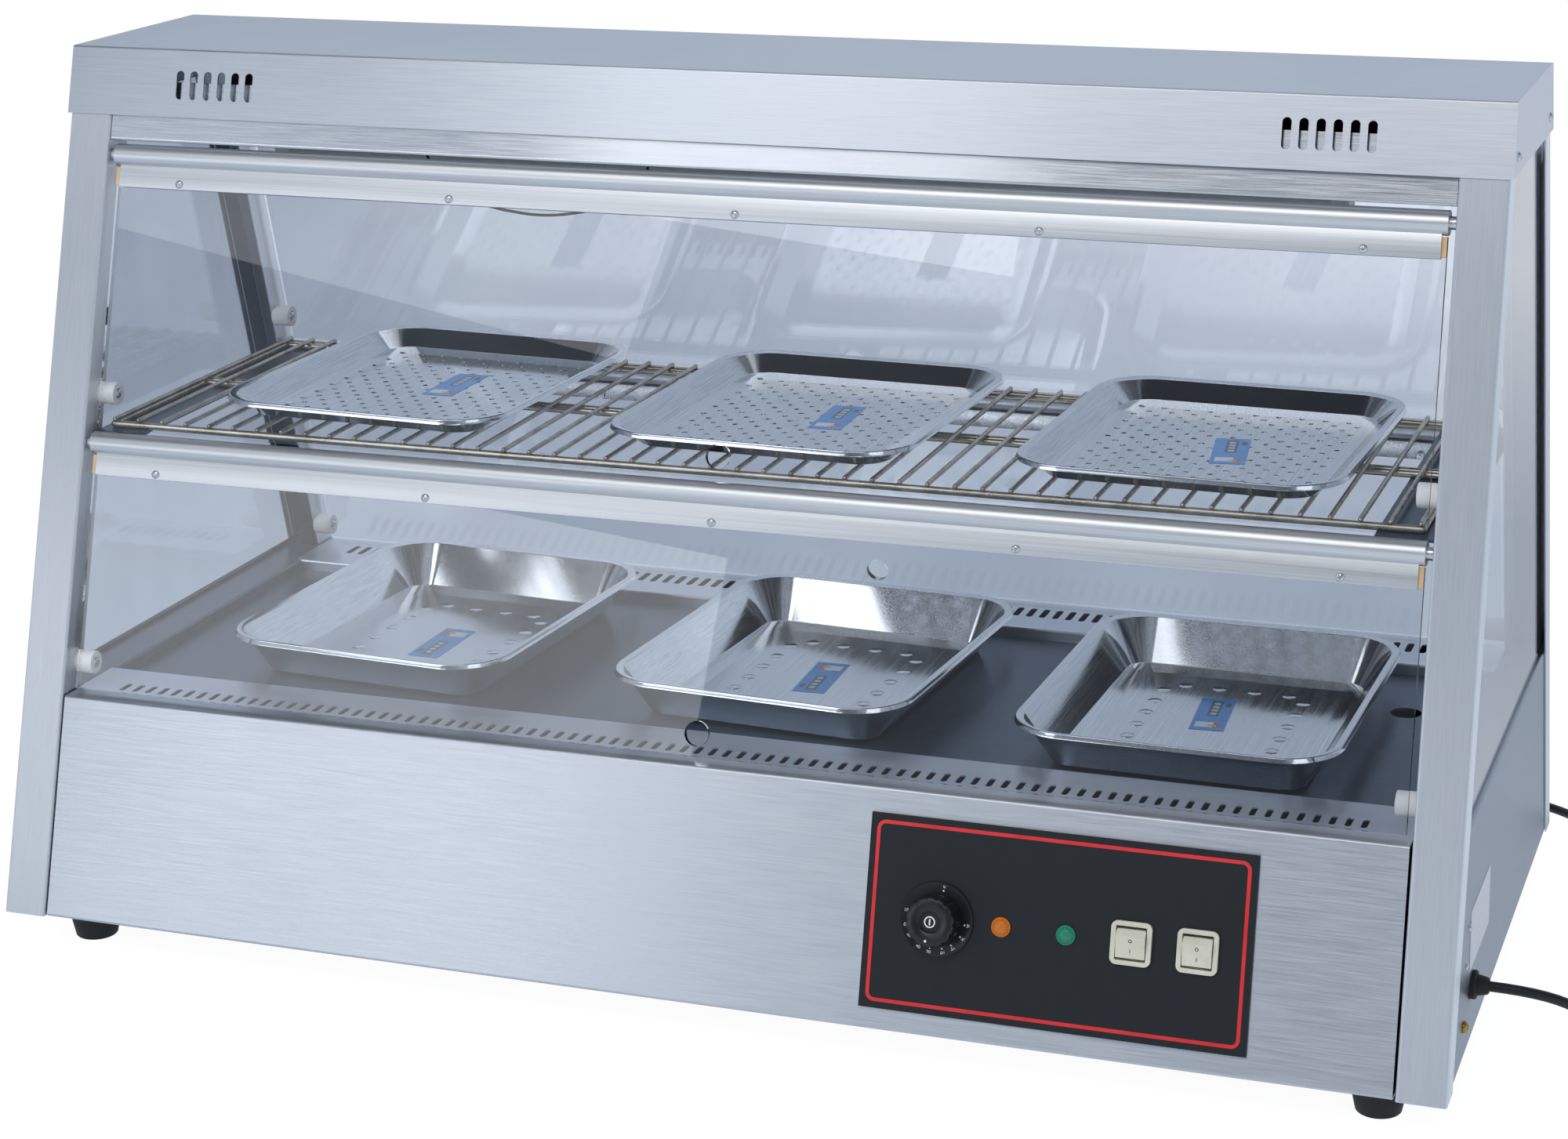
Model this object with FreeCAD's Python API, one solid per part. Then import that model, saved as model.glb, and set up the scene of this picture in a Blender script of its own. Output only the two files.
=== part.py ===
import FreeCAD, Part
import math
import os

# Food warmer cabinet of folded stainless sheet, with four lift-up glass doors, a wire shelf,
# three perforated trays, three deep pans and a control plate. Millimetres.
# X runs along the length, the operator's front faces -Y, the floor is at z = 0.
# The origin is on the floor, in the middle of the cabinet.

os.makedirs("parts", exist_ok=True)
V = FreeCAD.Vector
ORIGIN = V(0, 0, 0)

# The whole cabinet. Heights are above the lower ends of the posts unless a name says otherwise.
LENGTH = 1200.0
FOOT_HEIGHT = 31.0
BODY_HEIGHT = 648.0
HALF_DEPTH = 293.7
LEAN_DEG = 15.5
SHEET = 1.2
BEND = 1.0
FIT = 0.3

# Corner posts: a front face, an outer flange and an inner return.
POST_WIDTH = 37.6
POST_FLANGE = 25.5
POST_RETURN = 30.0
CHANNEL_GRIP = 12.0

# Base and deck.
PANEL_GAP = 2.0
PANEL_RECESS = 1.0
DECK_HEIGHT = 177.2
DECK_STEP = 10.0
STRIP_INNER = 165.0
PLATE_THICKNESS = 2.0
LIP = 12.0
SIDE_TOP = 181.0
SIDE_LIP = 7.0
LEDGE_INNER = 555.0
FRONT_SLOT = (5.0, 17.0)
REAR_SLOT = (6.0, 24.0)
SLOT_PITCH = 12.0
SLOT_ROW = 1044.0
SLOT_MIDDLE = 208.0
PROBE_HOLE = 25.0
PROBE_X = 506.0
PROBE_Y = 70.0
FOOT_TOP = 48.0
FOOT_BOTTOM = 35.0
FOOT_BOSS = 22.0
FOOT_RECESS = 17.0
FOOT_RECESS_DEPTH = 5.0
FOOT_X = 543.0
FOOT_Y = 245.0

# Cap, headers, ceiling and lamp.
CAP_HEIGHT = 55.0
CAP_OVERHANG = 2.0
HEADER_BOTTOM = 626.0
HEADER_RECESS = 3.0
VENT_WIDTH = 7.0
VENT_LENGTH = 24.0
VENT_PITCH = 12.8
VENT_COUNT = 6
VENT_MIDDLE_X = 465.5
VENT_HEIGHT = 673.5
LAMP_DIAMETER = 26.0
LAMP_LENGTH = 900.0
LAMP_DROP = 40.0
LAMP_PIN = 2.4
LAMP_PIN_LENGTH = 6.0
LAMP_PIN_OFFSET = 6.0
LAMP_HOLDER = 14.0
LEAD_DIAMETER = 2.4
LEAD_LEFT = -301.0
LEAD_SPAN = 200.0
LEAD_SAG = 60.0
LEAD_Y = -52.0
CAP_SCREW_Y = 92.0
CAP_SCREW_RISE = 13.0
CAP_SCREW_SHANK = 4.0
CAP_SCREW_HEAD = 8.0
CAP_SCREW_DOME = 2.4

# Glass and doors.
SIDE_GLASS = 4.0
SIDE_GLASS_INSET = 3.0
DOOR_GLASS = 5.0
DOOR_HALF = 556.0
TUBE_DIAMETER = 19.0
TUBE_WALL = 1.5
TUBE_HALF = 557.0
TUBE_DEPTH = 10.0
UPPER_TUBE = 616.0
LOWER_TUBE = 382.4
FLANGE_FACE = 6.0
FLANGE_SHEET = 1.5
FLANGE_DROP = 27.0
FLANGE_HALF = 552.0
GASKET = 1.5
GLASS_GAP = 2.0
DECK_CLEARANCE = 3.0
FINGER_HOLE = 20.0
FINGER_HOLE_RISE = 18.0
DOOR_SCREW_DROP = 22.5
DOOR_SCREW_SPAN = 990.0
DOOR_SCREW_COUNT = 5
SCREW_SHANK = 3.5
SCREW_HEAD = 7.0
SCREW_DOME = 2.2
SCREW_PLAY = 0.4
NUT_HEIGHT = 2.5
END_PLUG = 12.0
PIN_DIAMETER = 6.0
PIN_PLAY = 0.06
PIN_COLLAR = 10.0
BUMPER_DIAMETER = 19.0
BUMPER_LENGTH = 17.0
BUMPER_BORE = 5.2
BUMPER_SEAT = 9.0
BUMPER_SEAT_DEPTH = 4.0
BUMPER_HEAD = 8.4
BUMPER_HEAD_HEIGHT = 2.8
LOWER_BUMPER = 205.0
UPPER_BUMPER = 423.0

# Wire shelf.
SHELF_TOP = 397.0
RAIL_DIAMETER = 6.0
WIRE_DIAMETER = 4.0
WELD_SINK = 0.5
SHELF_HALF_LENGTH = 553.0
SHELF_HALF_DEPTH = 158.0
WIRE_PITCH = 22.4
WIRE_ROW = 1098.0
RAIL_PAIR = 9.0
SHELF_LEDGE = 46.0
SHELF_LEDGE_LEG = 18.0
SHELF_LEDGE_SHEET = 2.0

# Trays and pans: drawn sheet with a flat rolled rim.
TRAY_LENGTH = 306.0
PAN_LENGTH = 320.0
TRAY_WIDTH = 262.0
TRAY_CORNER = 48.0
TRAY_SHEET = 0.8
RIM_WIDTH = 9.0
RIM_ROLL = 5.0
TRAY_BEND = 3.0
FLOOR_CORNER = 2.0
PAN_DEPTH = 40.0
PAN_INSET = 28.0
TRAY_DEPTH = 20.0
TRAY_INSET = 22.0
TRAY_HOLE = 5.0
TRAY_HOLE_PITCH_X = 19.5
TRAY_HOLE_PITCH_Y = 12.5
TRAY_HOLE_ROWS = 19
TRAY_HOLE_COLUMNS = 10
DIMPLE = 12.0
DIMPLE_RISE = 0.8
DIMPLE_RING_WIDTH = 118.0
DIMPLE_RING_LENGTH = 178.0
PAN_PLACES = {"left": (-334.0, 10.0, -4.0), "centre": (20.0, 6.0, -4.0), "right": (362.0, -8.0, -1.0)}
TRAY_PLACES = {"left": (-329.0, 1.0, -3.0), "centre": (19.0, 0.0, -2.0), "right": (360.0, 0.0, -2.0)}

# Controls, placed on the leaning front panel. Slope lengths are measured up the slope.
CONTROL_MIDDLE_X = 302.0
CONTROL_WIDTH = 300.0
CONTROL_HEIGHT = 148.0
CONTROL_BOTTOM = 17.6
CONTROL_SHEET = 2.5
CONTROL_PITCH = 50.4
CONTROL_FIRST_X = 209.6
CONTROL_LINE = 90.3
DIAL_DIAMETER = 57.0
DIAL_RIM = 2.2
KNOB_DIAMETER = 40.0
KNOB_HEIGHT = 20.0
KNOB_FLUTES = 16
KNOB_EDGE = 1.5
KNOB_DISH = 8.5
KNOB_SKIRT = 4.0
FLUTE_TOOL = 5.0
FLUTE_OFFSET = 1.6
SHAFT_DIAMETER = 6.0
THERMOSTAT_SIZE = 38.0
THERMOSTAT_LENGTH = 28.0
SHAFT_GRIP = 10.0
BULB_DIAMETER = 6.0
BULB_LENGTH = 80.0
BULB_CLIP = 10.0
BULB_CLIP_OFFSET = 25.0
LAMP_LENS = 15.0
LAMP_BARREL = 12.0
LAMP_BARREL_LENGTH = 22.0
BEZEL_HEIGHT = 1.5
LENS_RISE = 2.5
FRAME_WIDTH = 31.0
FRAME_HEIGHT = 32.5
FRAME_CORNER = 5.0
FRAME_THICKNESS = 3.0
HOUSING_WALL = 2.0
ROCKER_WIDTH = 22.4
ROCKER_GAP = 0.4
ROCKER_WELL = 24.0
HOUSING_LENGTH = 20.0
ROCKER_PIN = 3.0
ROCKER_PROUD = 3.0
ROCKER_BEVEL = 5.0
ROCKER_EASE = 1.0

# Heating and wiring inside the base.
HEATER_DIAMETER = 8.0
HEATER_LENGTH = 860.0
HEATER_SPREAD = 90.0
HEATER_MIDDLE_Y = 85.0
STRAP_WIDTH = 16.0
STRAP_INSET = 60.0
STRAP_SHEET = 2.0
TERMINAL_X = 505.0
TERMINAL_Y = -172.5
TERMINAL_LENGTH = 70.0
TERMINAL_WIDTH = 25.0
TERMINAL_HEIGHT = 18.0
TERMINAL_PITCH = 12.0
TERMINAL_SCREW = 5.0

# Right side: rating plate, gland and supply cord.
RATING_Y = -139.5
RATING_RISE = 85.0
RATING_WIDTH = 99.0
RATING_HEIGHT = 48.0
RATING_SHEET = 0.6
GLAND_Y = -170.6
GLAND_RISE = 44.0
GLAND_BORE = 16.0
GLAND_NUT = 22.0
GLAND_NUT_HEIGHT = 4.0
GLAND_BACK_NUT = 5.0
GLAND_INSIDE = 14.0
GLAND_REACH = 13.0
CORD_DIAMETER = 8.0
COIL_MEAN = 88.0
COIL_STEP = 8.8
COIL_TURNS = 2
COIL_DIP = 2.2
COIL_TAIL = 32.0
COIL_X = 480.0
COIL_Y = 370.0
PLUG_RELIEF = 22.0
PLUG_LENGTH = 36.0
PLUG_PIN = 4.8
PLUG_PIN_LENGTH = 19.0
PLUG_PIN_OFFSET = 7.0

# Worked out from the sizes above.
TAN = math.tan(math.radians(LEAN_DEG))
COS = math.cos(math.radians(LEAN_DEG))
SIN = math.sin(math.radians(LEAN_DEG))
RETURN_FACE = LENGTH / 2 - POST_WIDTH
FLANGE_INNER = LENGTH / 2 - SHEET
SIDE_SKIN = FLANGE_INNER - FIT
SIDE_GLASS_INNER = SIDE_SKIN - SIDE_GLASS_INSET - SIDE_GLASS
CEILING_UNDERSIDE = FOOT_HEIGHT + HEADER_BOTTOM + SHEET
BODY_TOP = FOOT_HEIGHT + BODY_HEIGHT
CAP_TOP = BODY_TOP + CAP_HEIGHT
PLATE_BOTTOM = DECK_HEIGHT - DECK_STEP - PLATE_THICKNESS
PLATE_UNDERSIDE = FOOT_HEIGHT + PLATE_BOTTOM
GLASS_FRONT = FLANGE_FACE + FLANGE_SHEET + GASKET
GLASS_BACK = GLASS_FRONT + DOOR_GLASS
CLAMP_BACK = GLASS_BACK + FLANGE_SHEET
LAMP_Z = CEILING_UNDERSIDE - LAMP_DROP + LAMP_DIAMETER / 2
WIRE_Z = FOOT_HEIGHT + SHELF_TOP - WIRE_DIAMETER / 2
RAIL_Z = WIRE_Z - WIRE_DIAMETER / 2 - RAIL_DIAMETER / 2 + WELD_SINK
PLATE_FRONT = PANEL_RECESS - CONTROL_SHEET
ROCKER_AXIS = PLATE_FRONT + ROCKER_PIN + ROCKER_EASE + 0.5


# Placing and drawing helpers.
def up_slope(height):
    """Distance up the leaning face that reaches this height."""
    return height / COS


def face_y(height, depth):
    """Y of the plane that lies this deep behind the front face, at this height."""
    return -HALF_DEPTH + depth / COS + height * TAN


def on_front(shape):
    """From the face frame (x along, y inward, z up the slope) to the cabinet's frame."""
    placed = shape.copy()
    placed.rotate(ORIGIN, V(1, 0, 0), -LEAN_DEG)
    placed.translate(V(0, -HALF_DEPTH, FOOT_HEIGHT))
    return placed


def to_rear(shape):
    """The same piece on the rear face: the cabinet is alike when it is turned round."""
    placed = shape.copy()
    placed.rotate(ORIGIN, V(0, 0, 1), 180)
    return placed


def mirrored(shape):
    return shape.mirror(ORIGIN, V(1, 0, 0))


def block(low, high):
    return Part.makeBox(high[0] - low[0], high[1] - low[1], high[2] - low[2], V(*low))


def rod(start, end, diameter):
    run = end.sub(start)
    return Part.makeCylinder(diameter / 2, run.Length, start, run)


def rod_x(start_x, end_x, y, z, diameter):
    return rod(V(start_x, y, z), V(end_x, y, z), diameter)


def group(shapes):
    return Part.makeCompound(shapes)


def one_solid(shapes):
    return shapes[0].multiFuse(shapes[1:]).removeSplitter()


def in_xy(height=0.0):
    return lambda u, v: V(u, v, height)


def in_xz(depth=0.0):
    return lambda u, v: V(u, depth, v)


def in_yz(x=0.0):
    return lambda u, v: V(x, u, v)


def polygon(points, place):
    corners = [place(*point) for point in points]
    return Part.Face(Part.makePolygon(corners + corners[:1]))


def rounded_outline(width, length, radius, place):
    """Wire of a rectangle with round corners, centred on the origin."""
    half_u, half_v = width / 2, length / 2
    edges = []
    previous = None
    first = None
    for quarter in range(4):
        side_u = 1 if quarter in (0, 3) else -1
        side_v = 1 if quarter in (0, 1) else -1
        centre_u = side_u * (half_u - radius)
        centre_v = side_v * (half_v - radius)
        points = []
        for step in range(3):
            angle = math.radians(90 * quarter + 45 * step)
            points.append(place(centre_u + radius * math.cos(angle), centre_v + radius * math.sin(angle)))
        if previous is None:
            first = points[0]
        else:
            edges.append(Part.makeLine(previous, points[0]))
        edges.append(Part.Arc(*points).toShape())
        previous = points[2]
    edges.append(Part.makeLine(previous, first))
    return Part.Wire(edges)


def rounded_face(width, length, radius, place):
    return Part.Face(rounded_outline(width, length, radius, place))


def obround(width, length, centre_u, centre_v, place):
    """Face of a slot with round ends whose long side runs along v."""
    reach = (length - width) / 2
    half = width / 2
    corners = [place(centre_u + half, centre_v - reach), place(centre_u + half, centre_v + reach),
               place(centre_u - half, centre_v + reach), place(centre_u - half, centre_v - reach)]
    top = place(centre_u, centre_v + reach + half)
    bottom = place(centre_u, centre_v - reach - half)
    edges = [Part.makeLine(corners[0], corners[1]), Part.Arc(corners[1], top, corners[2]).toShape(),
             Part.makeLine(corners[2], corners[3]), Part.Arc(corners[3], bottom, corners[0]).toShape()]
    return Part.Face(Part.Wire(edges))


def bent_sheet(points, side, place, thickness=SHEET, bend=BEND):
    """Face of a folded sheet. The points run along one skin; the metal lies on their left for
    side = 1 and on their right for side = -1. Every fold gets its inner and outer radius."""
    runs = []
    for start, end in zip(points, points[1:]):
        length = math.hypot(end[0] - start[0], end[1] - start[1])
        along = ((end[0] - start[0]) / length, (end[1] - start[1]) / length)
        runs.append((along, (-along[1] * side, along[0] * side)))
    near = [[points[0]]]
    far = [[shifted(points[0], runs[0][1], thickness)]]
    for corner, (before, after) in zip(points[1:-1], zip(runs, runs[1:])):
        turn = before[0][0] * after[0][1] - before[0][1] * after[0][0]
        half_turn = math.acos(max(-1, min(1, before[0][0] * after[0][0] + before[0][1] * after[0][1]))) / 2
        towards = 1 if turn * side > 0 else -1
        near_radius = bend + thickness if towards > 0 else bend
        far_radius = bend if towards > 0 else bend + thickness
        cut_back = near_radius * math.tan(half_turn)
        leave = shifted(corner, before[0], -cut_back)
        meet = shifted(corner, after[0], cut_back)
        centre = shifted(leave, before[1], towards * near_radius)
        reach = math.hypot(corner[0] - centre[0], corner[1] - centre[1])
        outward = ((corner[0] - centre[0]) / reach, (corner[1] - centre[1]) / reach)
        near.append([leave, shifted(centre, outward, near_radius), meet])
        far.append([shifted(leave, before[1], thickness), shifted(centre, outward, far_radius),
                    shifted(meet, after[1], thickness)])
    near.append([points[-1]])
    far.append([shifted(points[-1], runs[-1][1], thickness)])
    back = [list(reversed(station)) for station in reversed(far)]
    return Part.Face(Part.Wire(chain_edges(near + back + [near[0]], place)))


def shifted(point, direction, distance):
    return (point[0] + direction[0] * distance, point[1] + direction[1] * distance)


def chain_edges(stations, place):
    """Edges through stations of one point, a corner, or three points, an arc."""
    edges = []
    previous = None
    for station in stations:
        if previous is not None:
            edges.append(Part.makeLine(place(*previous), place(*station[0])))
        if len(station) == 3:
            edges.append(Part.Arc(*[place(*point) for point in station]).toShape())
        previous = station[-1]
    return edges


def spread(count, pitch):
    """Places of a centred row."""
    return [(index - (count - 1) / 2) * pitch for index in range(count)]


# Posts: U channels cut level at both ends. The top end stands under the cap's sheet.
def right_post():
    section = bent_sheet([(LENGTH / 2, POST_FLANGE), (LENGTH / 2, 0), (RETURN_FACE, 0),
                          (RETURN_FACE, POST_RETURN)], -1, in_xy(-FOOT_HEIGHT))
    reach = up_slope(BODY_HEIGHT + CAP_HEIGHT) + 2 * FOOT_HEIGHT
    channel = on_front(section.extrude(V(0, 0, reach)))
    keep = block((0, -LENGTH, FOOT_HEIGHT), (LENGTH, LENGTH, CAP_TOP - SHEET - FIT))
    channel = channel.common(keep)
    holes = [rod_x(RETURN_FACE - SHEET, RETURN_FACE + 2 * SHEET, TUBE_DEPTH, tube_place(tube),
                   PIN_DIAMETER + 2 * PIN_PLAY) for tube in (LOWER_TUBE, UPPER_TUBE)]
    holes += [rod_x(RETURN_FACE - SHEET, RETURN_FACE + 2 * SHEET, *place, BUMPER_BORE)
              for place in bumper_places()]
    return channel.cut(group([on_front(hole) for hole in holes])).cut(cap_screw_holes())


def tube_place(tube_height):
    """Distance up the slope of a hinge tube's axis."""
    return up_slope(tube_height)


# Doors, in the face frame. The pane hangs behind the flange, with a gasket between them.
def door_edges(tube_height):
    """Lower and upper edge of a pane, as distances up the slope."""
    top = tube_place(tube_height) - TUBE_DIAMETER / 2 - 1.0
    if tube_height == UPPER_TUBE:
        bottom = tube_place(LOWER_TUBE) + TUBE_DIAMETER / 2 + GLASS_GAP
    else:
        bottom = (DECK_HEIGHT + DECK_CLEARANCE + GLASS_BACK * SIN) / COS
    return bottom, top


def bumper_places():
    """Depth and distance up the slope of the two bumpers on one post."""
    depth = GLASS_BACK + FIT + BUMPER_DIAMETER / 2
    return [(depth, up_slope(height)) for height in (LOWER_BUMPER, UPPER_BUMPER)]


def door_screw_holes(line, start, end, diameter):
    xs = spread(DOOR_SCREW_COUNT, DOOR_SCREW_SPAN / (DOOR_SCREW_COUNT - 1))
    return group([rod(V(x, start, line), V(x, end, line), diameter) for x in xs])


def door_bar(tube_height):
    axis = tube_place(tube_height)
    outer = rod_x(-TUBE_HALF, TUBE_HALF, TUBE_DEPTH, axis, TUBE_DIAMETER)
    bore = rod_x(-TUBE_HALF, TUBE_HALF, TUBE_DEPTH, axis, TUBE_DIAMETER - 2 * TUBE_WALL)
    flange = block((-FLANGE_HALF, FLANGE_FACE, axis - FLANGE_DROP),
                   (FLANGE_HALF, FLANGE_FACE + FLANGE_SHEET, axis - TUBE_DIAMETER / 2 + TUBE_WALL))
    bar = outer.fuse(flange).cut(bore)
    line = axis - DOOR_SCREW_DROP
    return bar.cut(door_screw_holes(line, 0, GLASS_BACK, SCREW_SHANK + SCREW_PLAY))


def door_glass(tube_height):
    bottom, top = door_edges(tube_height)
    pane = block((-DOOR_HALF, GLASS_FRONT, bottom), (DOOR_HALF, GLASS_BACK, top))
    middle = bottom + FINGER_HOLE_RISE
    hole = rod(V(0, 0, middle), V(0, 2 * GLASS_BACK, middle), FINGER_HOLE)
    line = tube_place(tube_height) - DOOR_SCREW_DROP
    return pane.cut(hole).cut(door_screw_holes(line, 0, 2 * GLASS_BACK, SCREW_SHANK + SCREW_PLAY))


def door_fittings(tube_height):
    """Gasket, clamp strip, five screws and the two end plugs with their pivot pins."""
    axis = tube_place(tube_height)
    line = axis - DOOR_SCREW_DROP
    holes = door_screw_holes(line, 0, 3 * GLASS_BACK, SCREW_SHANK + SCREW_PLAY)
    top = axis - TUBE_DIAMETER / 2 - 1.0
    low = axis - FLANGE_DROP
    gasket = block((-DOOR_HALF, FLANGE_FACE + FLANGE_SHEET, low + 1.0), (DOOR_HALF, GLASS_FRONT, top))
    clamp = block((-FLANGE_HALF, GLASS_BACK, low), (FLANGE_HALF, CLAMP_BACK, top))
    pieces = [gasket.cut(holes), clamp.cut(holes)]
    for x in spread(DOOR_SCREW_COUNT, DOOR_SCREW_SPAN / (DOOR_SCREW_COUNT - 1)):
        shank = rod(V(x, FLANGE_FACE - 1.0, line), V(x, CLAMP_BACK + NUT_HEIGHT + 0.5, line), SCREW_SHANK)
        head = dome_head(SCREW_HEAD, SCREW_DOME).translated(V(x, FLANGE_FACE, line))
        nut = rod(V(x, CLAMP_BACK, line), V(x, CLAMP_BACK + NUT_HEIGHT, line), SCREW_HEAD)
        pieces.append(one_solid([shank, head, nut]))
    bore = TUBE_DIAMETER - 2 * TUBE_WALL
    for side in (-1, 1):
        plug = rod_x(side * (TUBE_HALF - END_PLUG), side * TUBE_HALF, TUBE_DEPTH, axis, bore)
        collar = rod_x(side * TUBE_HALF, side * (RETURN_FACE - 2 * FIT), TUBE_DEPTH, axis, PIN_COLLAR)
        pin = rod_x(side * TUBE_HALF, side * (RETURN_FACE + 3 * SHEET), TUBE_DEPTH, axis, PIN_DIAMETER)
        pieces.append(one_solid([plug, collar, pin]))
    return group(pieces)


def dome_head(diameter, height):
    """Pan head whose flat side lies on y = 0 and whose dome points at -y."""
    radius = (diameter * diameter / 4 + height * height) / (2 * height)
    ball = Part.makeSphere(radius, V(0, radius - height, 0))
    half = block((-diameter, -diameter, -diameter), (diameter, 0, diameter))
    return ball.common(half)


# Base panels. The front and rear ones fold over at the top and make the deck's slotted strips.
def base_panel_sheet(slot):
    """Front sheet from its lower lip over the slotted strip down to the lip under the plate. That
    lip stops at both ends short of the side ledges' lips."""
    lower = face_y(0, PANEL_RECESS)
    upper = face_y(DECK_HEIGHT, PANEL_RECESS)
    profile = [(lower + LIP, 0), (lower, 0), (upper, DECK_HEIGHT), (-STRIP_INNER, DECK_HEIGHT),
               (-STRIP_INNER, PLATE_BOTTOM), (-STRIP_INNER + LIP, PLATE_BOTTOM)]
    half = RETURN_FACE - PANEL_GAP
    place = lambda y, z: V(-half, y, z + FOOT_HEIGHT)
    sheet = bent_sheet(profile, -1, place).extrude(V(2 * half, 0, 0))
    count = int(SLOT_ROW / SLOT_PITCH) + 1
    deck = FOOT_HEIGHT + DECK_HEIGHT
    place = in_xy(deck - 2 * SHEET)
    slots = [obround(*slot, x, -SLOT_MIDDLE, place).extrude(V(0, 0, 3 * SHEET))
             for x in spread(count, SLOT_PITCH)]
    lip_end = block((LEDGE_INNER - LIP - FIT, -STRIP_INNER, PLATE_UNDERSIDE - 2 * SHEET),
                    (half + SHEET, -STRIP_INNER + LIP + SHEET, PLATE_UNDERSIDE + BEND + SHEET))
    return sheet.cut(group(slots)).cut(group([lip_end, mirrored(lip_end)]))


def control_places():
    """X of the dial, the two pilot lamps and the two switches."""
    return [CONTROL_FIRST_X + index * CONTROL_PITCH for index in range(5)]


def control_holes():
    """Holes that the control plate and the panel behind it share, in the face frame."""
    dial, amber, green, power, light = control_places()
    start, end = -2 * CONTROL_SHEET, PANEL_RECESS + 2 * SHEET
    holes = [rod(V(dial, start, CONTROL_LINE), V(dial, end, CONTROL_LINE), SHAFT_DIAMETER + 2)]
    for x in (amber, green):
        holes.append(rod(V(x, start, CONTROL_LINE), V(x, end, CONTROL_LINE), LAMP_BARREL + 0.2))
    wide = ROCKER_WIDTH + 2 * ROCKER_GAP + 2 * HOUSING_WALL + 0.2
    high = ROCKER_WELL + 2 * HOUSING_WALL + 0.2
    for x in (power, light):
        holes.append(block((x - wide / 2, start, CONTROL_LINE - high / 2),
                           (x + wide / 2, end, CONTROL_LINE + high / 2)))
    return group(holes)


def side_panel():
    """Right side panel with its lower lip and its upper ledge, cut to the lean of the posts."""
    profile = [(SIDE_SKIN - LIP, 0), (SIDE_SKIN, 0), (SIDE_SKIN, SIDE_TOP), (SIDE_SKIN - SIDE_LIP, SIDE_TOP)]
    place = lambda x, z: V(x, -HALF_DEPTH, z + FOOT_HEIGHT)
    sheet = bent_sheet(profile, 1, place).extrude(V(0, 2 * HALF_DEPTH, 0))
    return sheet.common(lean_prism(CHANNEL_GRIP, 0, SIDE_TOP))


def lean_prism(depth, low, high):
    """Everything between the two leaning planes at this depth behind the faces."""
    points = [(face_y(low, depth), low + FOOT_HEIGHT), (face_y(high, depth), high + FOOT_HEIGHT),
              (-face_y(high, depth), high + FOOT_HEIGHT), (-face_y(low, depth), low + FOOT_HEIGHT)]
    return polygon(points, in_yz(-LENGTH)).extrude(V(2 * LENGTH, 0, 0))


def gland_hole():
    return rod_x(SIDE_SKIN - 3 * SHEET, SIDE_SKIN + SHEET, GLAND_Y, FOOT_HEIGHT + GLAND_RISE, GLAND_BORE)


def bottom_tray():
    """Closing sheet that lies on the lower lips of the four panels."""
    low, high = FOOT_HEIGHT + SHEET, FOOT_HEIGHT + 2 * SHEET
    half_x = RETURN_FACE - PANEL_GAP
    half_y = -face_y(0, PANEL_RECESS + SHEET + 2 * BEND)
    wing_x = SIDE_SKIN - SHEET - BEND
    wing_y = -face_y(0, POST_RETURN) - PANEL_GAP
    middle = block((-half_x, -half_y, low), (half_x, half_y, high))
    wings = block((-wing_x, -wing_y, low), (wing_x, wing_y, high))
    return one_solid([middle, wings])


def side_ledge():
    """Right side ledge of the deck, from the side panel down to the lip under the plate."""
    outer = SIDE_SKIN - SHEET
    profile = [(outer, DECK_HEIGHT), (LEDGE_INNER, DECK_HEIGHT), (LEDGE_INNER, PLATE_BOTTOM),
               (LEDGE_INNER - LIP, PLATE_BOTTOM)]
    half = STRIP_INNER - FIT
    place = lambda x, z: V(x, -half, z + FOOT_HEIGHT)
    middle = bent_sheet(profile, 1, place).extrude(V(0, 2 * half, 0))
    reach = -face_y(DECK_HEIGHT, POST_RETURN) - PANEL_GAP
    top = FOOT_HEIGHT + DECK_HEIGHT
    wing = block((RETURN_FACE - PANEL_GAP + FIT, -reach, top - SHEET), (outer, reach, top))
    return one_solid([middle, wing])


def warming_plate():
    """Plate that lies on the four lips. Its lower edges are bevelled to clear their folds."""
    half_x, half_y = LEDGE_INNER - FIT, STRIP_INNER - FIT
    outline = rounded_face(2 * half_x, 2 * half_y, 2 * BEND, in_xy(PLATE_UNDERSIDE))
    plate = outline.extrude(V(0, 0, PLATE_THICKNESS))
    lower_edges = [edge for edge in plate.Edges if edge.BoundBox.ZMax < PLATE_UNDERSIDE + FIT]
    plate = plate.makeChamfer(BEND, lower_edges)
    return plate.cut(rod(V(PROBE_X, PROBE_Y, 0), V(PROBE_X, PROBE_Y, BODY_TOP), PROBE_HOLE))


def foot():
    cone = Part.makeCone(FOOT_BOTTOM / 2, FOOT_TOP / 2, FOOT_HEIGHT)
    boss = Part.makeCylinder(FOOT_BOSS / 2, FOOT_HEIGHT + SHEET)
    recess = Part.makeCylinder(FOOT_RECESS / 2, FOOT_RECESS_DEPTH)
    return one_solid([cone, boss]).cut(recess)


# Cap, headers, ceiling and lamp.
def cap():
    lower = -face_y(BODY_HEIGHT, -CAP_OVERHANG)
    upper = -face_y(BODY_HEIGHT + CAP_HEIGHT, -CAP_OVERHANG)
    outline = [(-lower, BODY_TOP), (-upper, CAP_TOP), (upper, CAP_TOP), (lower, BODY_TOP)]
    half = LENGTH / 2 + CAP_OVERHANG
    skin = bent_sheet(outline, -1, in_yz(-half)).extrude(V(2 * half, 0, 0))
    rounded = bent_outline_solid(outline, half)
    ends = []
    for start in (-half, half - SHEET):
        end = polygon(outline, in_yz(start)).extrude(V(SHEET, 0, 0))
        ends.append(end.common(rounded))
    shell = one_solid([skin] + ends)
    return shell.cut(group(vent_tools())).cut(cap_screw_holes())


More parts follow.
